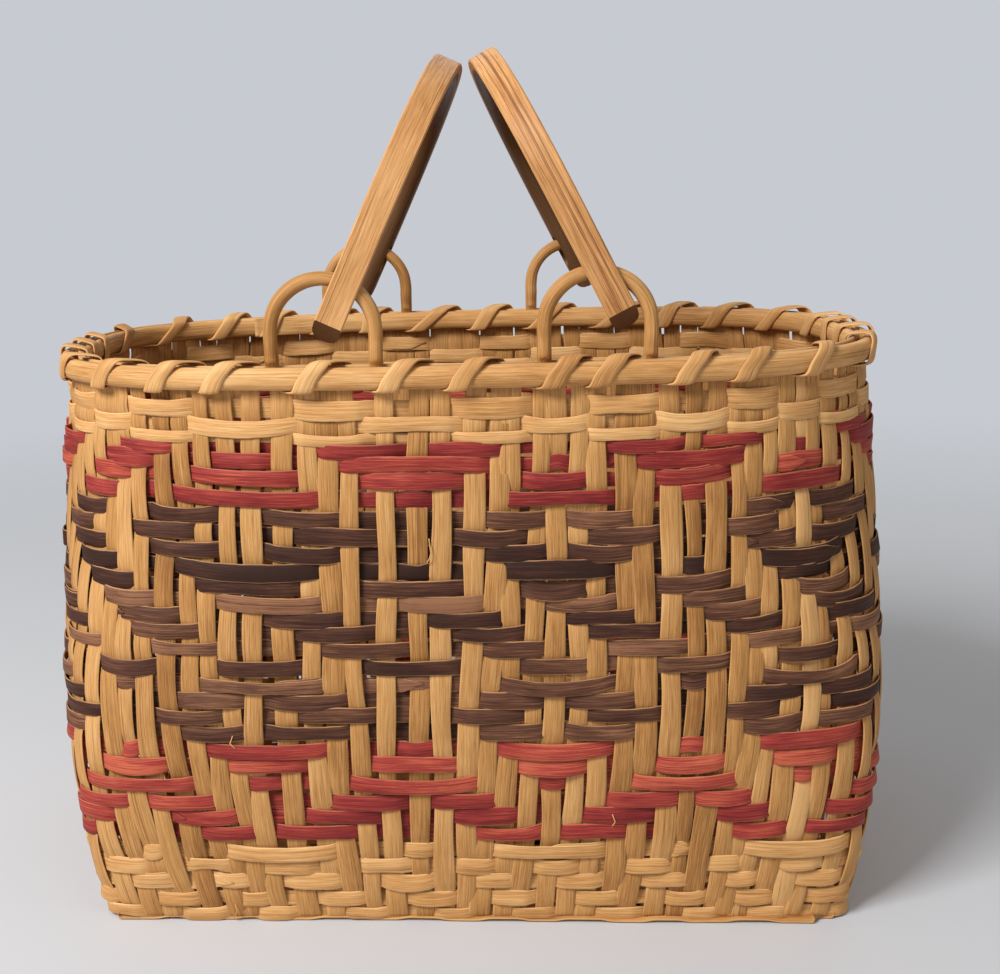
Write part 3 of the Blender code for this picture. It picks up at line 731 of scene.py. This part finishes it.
def weave(row, chance, places):
    """How far out, how far down, how twisted and how wide the row is at each place."""
    height = row_height(row)
    runs = row_runs(row)
    starts, ends = (np.array([edge_place(run[side], height) for run in runs]) for side in (0, 1))
    signs = np.array([sign for start, end, sign in runs])
    counts = np.array([end - start for start, end, sign in runs], float)
    loose = chance.uniform(0.7, 1.25, len(runs))
    sag = chance.uniform(-0.2, 1.0, len(runs)) * SAG
    twist = chance.normal(FLOAT_TILT, TWIST_SPREAD, len(runs))
    jog = chance.normal(0.0, JOG_SPREAD, len(runs)) * MM
    wide = chance.normal(0.0, WIDTH_SPREAD, len(runs))
    ripple = chance.uniform(0.0, 2 * math.pi, len(runs))
    wrapped = (places - starts[0]) % ALL_PLACES + starts[0]
    run = np.clip(np.searchsorted(starts, wrapped, side="right") - 1, 0, len(runs) - 1)
    part = np.clip((wrapped - starts[run]) / (ends[run] - starts[run]), 0.0, 1.0)
    reach = np.minimum(part, 1.0 - part) * counts[run]
    arch = 1.0 - (2.0 * part - 1.0) ** 2
    bow = np.minimum(WEAVER_BOW * counts[run] ** 1.5, WEAVER_BOW_LIMIT) * loose[run] * arch
    out = np.minimum(signs[run] * (WEAVER_STEP * eased(reach / WEAVER_TURN) + bow), OUT_LIMIT)
    drop = (sag[run] * np.minimum(counts[run] - 1.0, SAG_LIMIT) + jog[run]) * arch
    drop += RIPPLE * np.sin(part * 6.0 + ripple[run]) * eased(part * 4) * eased((1.0 - part) * 4)
    if row in LOOSE_LOOPS:
        near = (wrapped % ALL_PLACES - LOOSE_LOOP_PLACE) / LOOSE_LOOP_REACH
        out += eased(out / WEAVER_STEP) * LOOSE_LOOPS[row] * MM * np.exp(-near ** 2)
    return out, drop, twist[run] * arch, 1.0 + wide[run] * arch


def make_weaver(row):
    chance = np.random.default_rng(1000 + row)
    start = chance.uniform(0.0, ALL_PLACES)
    places = np.arange(start, start + ALL_PLACES + OVERLAP, 1.0 / SAMPLES_PER_PLACE)
    travelled = places - start
    out, drop, twist, wide = weave(row, chance, places)
    under_layer = 1.0 - eased((travelled - OVERLAP) / OVERLAP_EASE)
    upper_layer = eased((travelled - ALL_PLACES + OVERLAP_EASE) / OVERLAP_EASE)
    half_thick = WEAVER_HALF_THICK * (1.0 - OVERLAP_THINNED * np.maximum(under_layer, upper_layer))
    offset = WALL_MIDDLE + out + (upper_layer - under_layer) * OVERLAP_APART
    wander = slow_wander(chance, places % ALL_PLACES, 0.22 * MM)
    height = row_height(row) - drop + wander + (under_layer - upper_layer) * OVERLAP_CROSSED
    points, facing = wall(places, height + row_lift(places, row_height(row)), offset)
    points[:, 0] = np.maximum(points[:, 0], LEFT_LIMIT)
    point_shape = np.clip(np.minimum(travelled, travelled[-1] - travelled) / POINTED_END, 0.12, 1.0)
    half_width = WIDE_ROWS.get(row, WEAVER_HALF_WIDTH + chance.uniform(-0.15, 0.2)) * MM
    ragged = 0.016 * np.sin(places * 4.3 + row) + 0.012 * np.sin(places * 9.7 + row * 2.0)
    width = half_width * (wide + ragged + slow_wander(chance, places % ALL_PLACES, 0.035)) * point_shape
    colour = ROW_COLOURS[row]
    spread = TONE_SPREAD[colour]
    tone = ROW_TONES.get(row, chance.normal(0.0, spread))
    tone = tone + slow_wander(chance, places % ALL_PLACES, spread * 0.7)
    name = f"weaver_{row + 1:02d}_{colour}"
    wood = Wood(name)
    wood.strip(points, facing, width, half_thick, tone=tone, seed=41.0 + row * 1.7, tilt=twist)
    place_piece(name + "_woven", wood.mesh(True), WEAVER_WOOD[colour], colour + "_weaver", "basket", name)
    return wood.count


print("weaver points", sum(make_weaver(row) for row in range(ROW_COUNT)))

# %% [markdown]
# ## Loose fibres
# The splints shed fibres where they rub. The picture shows a few on the front, thin and
# curled, so a few are drawn at the same places.

# %% Fibres
FIBRES = (((-1.51, 171.8), (-1.43, 166.1), (-1.50, 163.6), (-1.61, 162.0)),
          ((-10.11, 88.6), (-10.22, 85.5), (-10.05, 84.0), (-10.0, 82.8)),
          ((-10.9, 8.6), (-10.85, 6.0), (-10.95, 4.2), (-11.08, 1.6)),
          ((6.2, 52.0), (6.32, 49.0), (6.22, 46.5)))


def make_fibres():
    wood = Wood("loose_fibres")
    for index, course in enumerate(FIBRES):
        places, heights = np.array(course).T
        parts = np.linspace(0.0, 1.0, 13)
        knots = np.linspace(0.0, 1.0, len(places))
        curl = 1.1 * MM * np.sin(parts * math.pi) + 0.9 * MM
        points, facing = wall(np.interp(parts, knots, places), np.interp(parts, knots, heights) * MM, curl)
        wood.strip(points, facing, 0.22 * MM, 0.16 * MM, tone=0.3, seed=95.0 + index)
    place_piece("loose_fibres", wood.mesh(True), NATURAL_WOOD, "natural_weaver", "basket")
    return wood.count


print("fibre points", make_fibres())

# %% [markdown]
# ## Rim hoops
# Two shaved hoops clamp the stake tops. Each is one strip bent round, with its ends thinned
# and laid on each other. The outer one is rounded outside, the inner one inside.

# %% Hoops
SEAT = 0.3 * MM
OUTER_HOOP_THICKNESS = 4.2 * MM
INNER_HOOP_THICKNESS = 3.6 * MM
INNER_HOOP_OUT = 3.6 * MM
HALF_ROUND = ((-1.0, -1.0), (-1.0, -0.2), (-0.86, 0.45), (-0.55, 0.82), (-0.2, 1.0), (0.2, 1.0),
              (0.55, 0.82), (0.86, 0.45), (1.0, -0.2), (1.0, -1.0), (0.5, -1.0), (-0.5, -1.0))
HOOP_LAP = 60.0 * MM
HOOP_SAMPLE = 0.2
SHAVED_HEIGHT = 9.0 * MM
SHAVED_TOP = 240.1 * MM


def make_hoop(name, inner_face, thickness, round_out, lap_place, seed):
    chance = np.random.default_rng(int(seed * 10))
    lap = HOOP_LAP / RIM_LENGTH * ALL_PLACES
    places = np.arange(lap_place, lap_place + ALL_PLACES + lap, HOOP_SAMPLE)
    travelled = places - lap_place
    begin = thickness * np.clip((travelled - ALL_PLACES) / lap, 0.0, 0.95)
    finish = thickness * np.clip(travelled / lap, 0.05, 1.0)
    if not round_out:
        begin, finish = thickness - finish, thickness - begin
    carve = slow_wander(chance, places % ALL_PLACES, 0.16 * MM, 7)
    points, facing = wall(places, RIM_TOP - HOOP_HEIGHT / 2, inner_face + (begin + finish) / 2)
    points[:, 2] = SHAVED_TOP - SHAVED_HEIGHT / 2 + slow_wander(chance, places % ALL_PLACES, 0.15 * MM)
    half_height = SHAVED_HEIGHT / 2 + carve
    outline = HALF_ROUND if round_out else [(across, -out) for across, out in HALF_ROUND[::-1]]
    wood = Wood(name)
    tone = slow_wander(chance, places % ALL_PLACES, 0.35)
    wood.strip(points, facing, half_height, (finish - begin) / 2, outline=outline, tone=tone, seed=seed)
    place_piece(name + "_shaved", wood.mesh(), RIM_WOOD, "rim_oak", "basket", name)
    return wood.count


INNER_FACE = -INNER_HOOP_OUT - INNER_HOOP_THICKNESS
print("hoop points", make_hoop("outer_rim_hoop", SEAT, OUTER_HOOP_THICKNESS, True, 33.0, 5.3)
      + make_hoop("inner_rim_hoop", INNER_FACE, INNER_HOOP_THICKNESS, False, 60.0, 6.1))

# %% [markdown]
# ## Lashing
# One long splint winds round both hoops. It climbs the outside on a slant, crosses the top,
# drops inside and slips out between two stakes under the hoops. The path is a list of
# corners for each turn, which cutting the corners three times makes round.

# %% Lashing
LASHING_HALF_WIDTH = 4.1 * MM
LASHING_THICKNESS = 1.15 * MM
LASHING_GAP = 0.15 * MM
BAND_OUTLINE = ((-1.0, -0.7), (-1.0, 0.1), (-0.72, 0.72), (-0.3, 1.0), (0.3, 1.0), (0.72, 0.72), (1.0, 0.1),
                (1.0, -0.7), (0.4, -0.35), (-0.4, -0.35))
LASHING_LEAN = 5.2 * MM
LASHING_TOP_DRIFT = 9.0 * MM
LOOSE_TOP = 1.6 * MM
RIGHT_END_WRAPS = (211.0 * MM, 238.0 * MM)
LEFT_END_WRAPS = (-253.0 * MM, -233.0 * MM)
LASHING_CORNER = 1.3 * MM
WRAPS = [place * MM for place in (-212.0, -179.0, -147.0, -119.0, -95.0, -58.0, -25.0, 2.0, 38.0, 56.0, 88.0,
                                  112.0, 142.0, 180.0)]


def lashing_corners():
    outer = SEAT + OUTER_HOOP_THICKNESS + LASHING_THICKNESS / 2 - 0.1 * MM
    inner = INNER_FACE - LASHING_GAP - LASHING_THICKNESS / 2
    top = SHAVED_TOP + LASHING_GAP + LASHING_THICKNESS / 2
    loose = top + LOOSE_TOP
    bottom = SHAVED_TOP - SHAVED_HEIGHT - 2 * LASHING_GAP - LASHING_THICKNESS / 2
    wraps = WRAPS + list(RIGHT_END_WRAPS) + [wrap + RIM_LENGTH / 2 for wrap in WRAPS]
    wraps += [wrap + RIM_LENGTH for wrap in LEFT_END_WRAPS]
    path = []
    for index, wrap in enumerate(wraps):
        following = wraps[index + 1] if index + 1 < len(wraps) else wraps[0] + RIM_LENGTH
        start = wrap - LASHING_LEAN / 2
        crest = wrap + LASHING_LEAN / 2
        outside_again = following - LASHING_LEAN / 2
        drift = min(LASHING_TOP_DRIFT, (outside_again - crest) * 0.6)
        inside = crest + drift
        rest = (outside_again - inside - 2 * LASHING_CORNER) / 2
        path += [(start, outer, bottom + LASHING_CORNER),
                 (start + LASHING_LEAN * 0.3, outer + 0.1 * MM, (bottom + top) / 2),
                 (crest, outer, loose - 2.4 * MM),
                 (crest + drift * 0.22, outer - 1.9 * MM, loose + 0.2 * MM),
                 (crest + drift * 0.55, (outer + inner) / 2, loose - 0.3 * MM),
                 (inside - drift * 0.1, inner + LASHING_CORNER, top + 0.4 * MM),
                 (inside, inner, top - LASHING_CORNER),
                 (inside + rest, inner, bottom + LASHING_CORNER),
                 (inside + rest + LASHING_CORNER, inner + LASHING_CORNER, bottom),
                 (outside_again - LASHING_CORNER, outer - LASHING_CORNER, bottom)]
    return np.array(path)


def cut_corners(path):
    following = np.roll(path, -1, axis=0)
    following[-1, 0] += RIM_LENGTH
    cut = np.stack((path * 0.75 + following * 0.25, path * 0.25 + following * 0.75), axis=1)
    return cut.reshape(-1, 3)


def make_lashing():
    path = cut_corners(cut_corners(cut_corners(lashing_corners())))
    outline = np.array(BAND_OUTLINE)
    ahead = np.roll(path, -1, axis=0)
    ahead[-1, 0] += RIM_LENGTH
    behind = np.roll(path, 1, axis=0)
    behind[0, 0] -= RIM_LENGTH
    step = (ahead - behind)[:, 1:]
    out = np.stack((step[:, 1], -step[:, 0]), axis=1)
    out /= np.linalg.norm(out, axis=1, keepdims=True)
    distance = path[:, :1] + outline[:, 0] * LASHING_HALF_WIDTH
    thick = outline[:, 1] * LASHING_THICKNESS / 2
    rings, facing = wall(distance / RIM_LENGTH * ALL_PLACES, RIM_TOP, path[:, 1:2] + out[:, :1] * thick)
    rings[..., 2] = path[:, 2:] + out[:, 1:] * thick
    wood = Wood("rim_lashing")
    tone = slow_wander(np.random.default_rng(9), np.linspace(0, ALL_PLACES, len(path)), 0.4)
    wood.skin(rings, outline, rings.mean(axis=1), LASHING_HALF_WIDTH, LASHING_THICKNESS / 2, tone, 77.0,
              closed=True)
    place_piece("rim_lashing_wound", wood.mesh(), LASHING_WOOD, "lashing_oak", "basket", "rim_lashing")
    return wood.count


print("lashing points", make_lashing())

# %% [markdown]
# ## Ears
# An ear is a whittled rod that was bent green into a loop. Its two tails are shaved flat and
# wedged between the hoops. A rod whose outline is not quite round and whose thickness
# wanders a little looks whittled, where a perfect tube would look like wire.

# %% Ears
EAR_CENTRE = 53.0 * MM
EAR_RADIUS = 20.5 * MM
EAR_ROD = 2.9 * MM
EAR_RISE = 10.5 * MM
EAR_HEIGHT = RIM_TOP + EAR_RISE
EAR_TAIL_LENGTH = 11.5 * MM
EAR_TAIL_THICKNESS = 2.0 * MM
EAR_TAIL_IN = 2.3 * MM
EAR_SHAVED = 2.4 * MM
BACK_EAR_SHIFT = 3.0 * MM
ROD_OUTLINE = tuple((math.cos(turn * math.pi / 8), math.sin(turn * math.pi / 8)) for turn in range(16))


def tail_depth(x):
    half_length, half_depth, squareness = wall_shape(RIM_TOP)
    return half_depth * (1.0 - (x / half_length) ** squareness) ** (1.0 / squareness) - EAR_TAIL_IN


EAR_PLANE = (tail_depth(EAR_CENTRE - EAR_RADIUS) + tail_depth(EAR_CENTRE + EAR_RADIUS)) / 2


def smooth_path(corners, count):
    """A smooth path through the corners, evenly spaced."""
    corners = np.array(corners)
    padded = np.concatenate(([2 * corners[0] - corners[1]], corners, [2 * corners[-1] - corners[-2]]))
    fine = []
    for index in range(1, len(padded) - 2):
        before, start, end, after = padded[index - 1:index + 3]
        for part in np.linspace(0.0, 1.0, 12, endpoint=False):
            fine.append(0.5 * (2 * start + (end - before) * part
                               + (2 * before - 5 * start + 4 * end - after) * part ** 2
                               + (3 * start - before - 3 * end + after) * part ** 3))
    fine.append(corners[-1])
    fine = np.array(fine)
    along = travelled_along(fine)
    wanted = np.linspace(0.0, along[-1], count)
    return np.stack([np.interp(wanted, along, fine[:, axis]) for axis in range(3)], axis=1)


def make_ear(name, side_x, side_y, seed):
    chance = np.random.default_rng(int(seed))
    far, near = ([(x, tail_depth(x), RIM_TOP - EAR_TAIL_LENGTH), (x, tail_depth(x), RIM_TOP - 4.0 * MM),
                  (x, tail_depth(x), RIM_TOP + 1.2 * MM), (x, EAR_PLANE, RIM_TOP + EAR_RISE * 0.6)]
                 for x in (EAR_CENTRE + EAR_RADIUS, EAR_CENTRE - EAR_RADIUS))
    arch = [(EAR_CENTRE + EAR_RADIUS * math.cos(turn), EAR_PLANE, EAR_HEIGHT + EAR_RADIUS * math.sin(turn))
            for turn in np.linspace(0.0, math.pi, 13)]
    path = smooth_path(far + arch + near[::-1], 110)
    path *= (side_x, side_y, 1.0)
    path[:, 0] += BACK_EAR_SHIFT if side_y > 0 else 0.0
    facing = np.tile((0.0, float(side_y), 0.0), (len(path), 1))
    flat = eased((SHAVED_TOP + EAR_SHAVED - path[:, 2]) / EAR_SHAVED)
    thick = EAR_ROD * (1 - flat) + EAR_TAIL_THICKNESS / 2 * flat
    waver = 1.0 + 0.03 * np.sin(np.linspace(0, 19, len(path)) + chance.uniform(0, 6))
    wood = Wood(name)
    tone = 0.4 * np.sin(np.linspace(0, 7, len(path)) + chance.uniform(0, 6))
    wood.strip(path, facing, EAR_ROD * waver * 0.98, thick * np.minimum(waver, 1.0), outline=ROD_OUTLINE,
               tone=tone, seed=seed)
    place_piece(name + "_whittled", wood.mesh(), EAR_WOOD, "ear_oak", "basket", name)
    return wood.count


print("ear points", make_ear("ear_front_left", -1, -1, 11.0) + make_ear("ear_front_right", 1, -1, 12.0)
      + make_ear("ear_back_left", -1, 1, 13.0) + make_ear("ear_back_right", 1, 1, 14.0))

# %% [markdown]
# ## Handles
# Each handle is a thick strip bent to a bow, flat outside and rounded inside, with a long
# eye through each foot for the ear. The bow is carried along its path like the other
# strips, and the eyes are cut through it as they are on the real one.

# %% Handles
HANDLE_WIDTH = 11.4 * MM
HANDLE_THICKNESS = 9.7 * MM
EYE_TO_TOP = 98.97 * MM
EYE_TO_FOOT = 18.0 * MM
EYE_HALF_WIDTH = 3.3 * MM
EYE_OUTER_WALL = 1.5 * MM
EYE_ABOVE = 3.2 * MM
EYE_BELOW = 7.6 * MM
FOOT_SLANT = 0.8
FOOT_SHORTER = 1.2 * MM
STRAIGHT_LEG = 14.0 * MM
BOW_SQUARENESS = 2.7
BOW_SETTLED = {"handle_left": 2.6 * MM, "handle_right": 1.6 * MM}
HANDLE_LEANS = {"handle_left": math.radians(25.0), "handle_right": math.radians(27.0)}
MEETING_PLACE = 4.0 * MM
HANDLE_GAP = 0.4 * MM
HANDLE_OUTLINE = ((-0.90, 1.0), (-1.0, 0.86), (-0.97, 0.0), (-0.93, -0.3), (-0.78, -0.62), (-0.5, -0.87),
                  (0.0, -1.0), (0.5, -0.87), (0.78, -0.62), (0.93, -0.3), (0.97, 0.0), (1.0, 0.86),
                  (0.90, 1.0))
# The dark inner colour on the rounded inside of each bow is partly aged oak and partly painted shade.
HANDLE_WOOD = wood_material("handle_oak", TAN, screen(112, 66, 36), 0.7, screen(206, 150, 96), 0.2, 0.2, 0.45,
                            inner=screen(74, 44, 26), line_shape=(3.0, 900.0))


def bow_path():
    outer = EAR_PLANE + EYE_HALF_WIDTH + EYE_OUTER_WALL
    half = outer - HANDLE_THICKNESS / 2
    rise = EYE_TO_TOP - HANDLE_THICKNESS / 2 - STRAIGHT_LEG
    points = [(0.0, -half, -EYE_TO_FOOT), (0.0, -half, -EYE_TO_FOOT / 2), (0.0, -half, 0.0)]
    for turn in np.linspace(0.0, math.pi, 60):
        power = 2.0 / BOW_SQUARENESS
        across = math.copysign(abs(math.cos(turn)) ** power, math.cos(turn))
        points.append((0.0, -half * across, STRAIGHT_LEG + rise * abs(math.sin(turn)) ** power))
    points += [(x, -y, z) for x, y, z in reversed(points[:3])]
    return smooth_path(points, 150)


def eye_place(side_x, lean):
    reach = EYE_TO_TOP * math.sin(lean) + HANDLE_WIDTH / 2 * math.cos(lean)
    turn = math.asin((EAR_CENTRE - side_x * MEETING_PLACE - HANDLE_GAP / 2 - reach) / EAR_RADIUS)
    return EAR_CENTRE - EAR_RADIUS * math.sin(turn), EAR_HEIGHT + EAR_RADIUS * math.cos(turn)


def eye_cutter(y):
    turns = np.linspace(0.0, 2 * math.pi, 33)[:-1]
    ring = [(y + EYE_HALF_WIDTH * math.cos(turn),
             EYE_HALF_WIDTH * math.sin(turn) + (EYE_ABOVE if math.sin(turn) > 0 else -EYE_BELOW))
            for turn in turns]
    points = [(side * HANDLE_WIDTH, depth, height) for side in (-1.0, 1.0) for depth, height in ring]
    count = len(ring)
    faces = [[index, (index + 1) % count, count + (index + 1) % count, count + index]
             for index in range(count)]
    faces += [list(reversed(range(count))), [count + index for index in range(count)]]
    mesh = bpy.data.meshes.new("eye_cutter")
    mesh.from_pydata(points, [], faces)
    return show("eye_cutter", mesh)


def make_handle(name, side_x, seed):
    path = bow_path()
    above = path[:, 2] > STRAIGHT_LEG
    path[above, 2] -= (path[above, 2] - STRAIGHT_LEG) / (EYE_TO_TOP - STRAIGHT_LEG) * BOW_SETTLED[name]
    path = np.concatenate((path[:1], path[:1] * 0.9 + path[1:2] * 0.1, path[1:-1],
                           path[-1:] * 0.9 + path[-2:-1] * 0.1, path[-1:]))
    middle = np.array((0.0, 0.0, STRAIGHT_LEG * 0.5))
    facing = path - middle
    facing[:, 0] = 0.0
    leg = path[:, 2] < STRAIGHT_LEG
    facing[leg] = np.sign(path[leg])[:, [0, 1, 0]] * (0.0, 1.0, 0.0)
    facing /= np.linalg.norm(facing, axis=1, keepdims=True)
    wood = Wood(name)
    tone = 0.4 * np.sin(np.linspace(0, 5, len(path)) + seed)
    # The cut ends of the feet take the full inner colour: dark end grain, and painted shade under the rounded
    # foot.
    wood.strip(path, facing, HANDLE_WIDTH / 2, HANDLE_THICKNESS / 2, outline=HANDLE_OUTLINE, tone=tone,
               seed=seed, end_depth=-1.0)
    mesh = wood.mesh()
    outer = max(abs(vert.co.y) for vert in mesh.vertices)
    for vert in mesh.vertices:
        if vert.co.z < -EYE_TO_FOOT + 0.6 * MM:
            vert.co.z -= (outer - abs(vert.co.y)) * FOOT_SLANT - FOOT_SHORTER
    bow = show(name + "_uncut", mesh)
    cutters = [eye_cutter(side * EAR_PLANE) for side in (-1.0, 1.0)]
    for cutter in cutters:
        cut = bow.modifiers.new("eye", "BOOLEAN")
        cut.operation = "DIFFERENCE"
        cut.solver = "EXACT"
        cut.object = cutter
    bpy.context.view_layer.update()
    finished = bpy.data.meshes.new_from_object(bow.evaluated_get(bpy.context.evaluated_depsgraph_get()))
    for item in [bow] + cutters:
        bpy.data.objects.remove(item, do_unlink=True)
    lean = HANDLE_LEANS[name]
    x, z = eye_place(side_x, lean)
    turn = Matrix.Rotation(-side_x * lean, 4, "Y")
    finished.transform(Matrix.Translation((side_x * x, 0.0, z)) @ turn)
    finished.shade_smooth()
    finished.set_sharp_from_angle(angle=math.radians(35.0))
    place_piece(name + "_carved", finished, HANDLE_WOOD, "handle_oak", name + "_body", name)
    return len(finished.vertices)


print("handle points", make_handle("handle_left", -1, 2.2) + make_handle("handle_right", 1, 4.4))

# %% [markdown]
# ## Floor and light
# The basket stands on a plain pale floor under soft light. One lamp above and to the left
# gives the floats their shadows, weaker ones fill from the right and from behind, and a pale
# sky keeps the hollow readable.

# %% Floor and light
FLOOR_HALF = 1.5
FLOOR_FADE = (0.3, 1.3)


def floor_material():
    """A pale floor that thins out to nothing far away, so that no edge shows."""
    material = bpy.data.materials.new("pale floor")
    material.use_nodes = True
    tree = material.node_tree
    pale = feed(tree, tree.nodes["Principled BSDF"], {"Base Color": screen(204, 206, 210), "Roughness": 0.8})
    length = tree.nodes.new("ShaderNodeVectorMath")
    length.operation = "LENGTH"
    feed(tree, length, {0: tree.nodes.new("ShaderNodeTexCoord").outputs["Object"]})
    clear = tree.nodes.new("ShaderNodeBsdfTransparent")
    far = ranged(tree, length.outputs["Value"], *FLOOR_FADE, 0.0, 1.0)
    mixed = tree.nodes.new("ShaderNodeMixShader")
    feed(tree, mixed, {0: far, 1: pale.outputs[0], 2: clear.outputs[0]})
    feed(tree, tree.nodes["Material Output"], {"Surface": mixed.outputs[0]})
    return material


def make_floor():
    mesh = bpy.data.meshes.new("floor")
    corners = [(x * FLOOR_HALF, y * FLOOR_HALF, 0.0) for x, y in ((-1, -1), (1, -1), (1, 1), (-1, 1))]
    mesh.from_pydata(corners, [], [(0, 1, 2, 3)])
    mesh.materials.append(floor_material())
    show("floor", mesh)


def make_lamp(name, place, target, size, power):
    data = bpy.data.lights.new(name, "AREA")
    data.shape = "SQUARE"
    data.size = size
    data.energy = power
    lamp = show(name, data)
    lamp.location = place
    lamp.rotation_euler = (Vector(target) - Vector(place)).to_track_quat("-Z", "Y").to_euler()


make_floor()
make_lamp("key", (-0.85, -0.9, 1.2), (0.0, 0.0, 0.12), 0.6, 28.0)
make_lamp("fill", (1.6, -1.3, 0.9), (0.0, 0.0, 0.12), 1.6, 2.2)
make_lamp("back", (0.4, 1.6, 1.2), (0.0, 0.0, 0.15), 1.4, 4.5)


def make_sky(colour, strength, seen):
    """Soft light from all round, and a plain colour behind what the camera sees."""
    world = bpy.context.scene.world or bpy.data.worlds.new("world")
    bpy.context.scene.world = world
    world.use_nodes = True
    tree = world.node_tree
    light = feed(tree, tree.nodes["Background"], {"Color": colour, "Strength": strength})
    plain = feed(tree, tree.nodes.new("ShaderNodeBackground"), {"Color": seen})
    seen_ray = tree.nodes.new("ShaderNodeLightPath").outputs["Is Camera Ray"]
    mixed = tree.nodes.new("ShaderNodeMixShader")
    feed(tree, mixed, {0: seen_ray, 1: light.outputs[0], 2: plain.outputs[0]})
    feed(tree, tree.nodes["World Output"], {"Surface": mixed.outputs[0]})


make_sky((1.0, 0.98, 0.95, 1.0), 0.35, screen(199, 203, 209))
bpy.context.scene.view_settings.view_transform = "Standard"
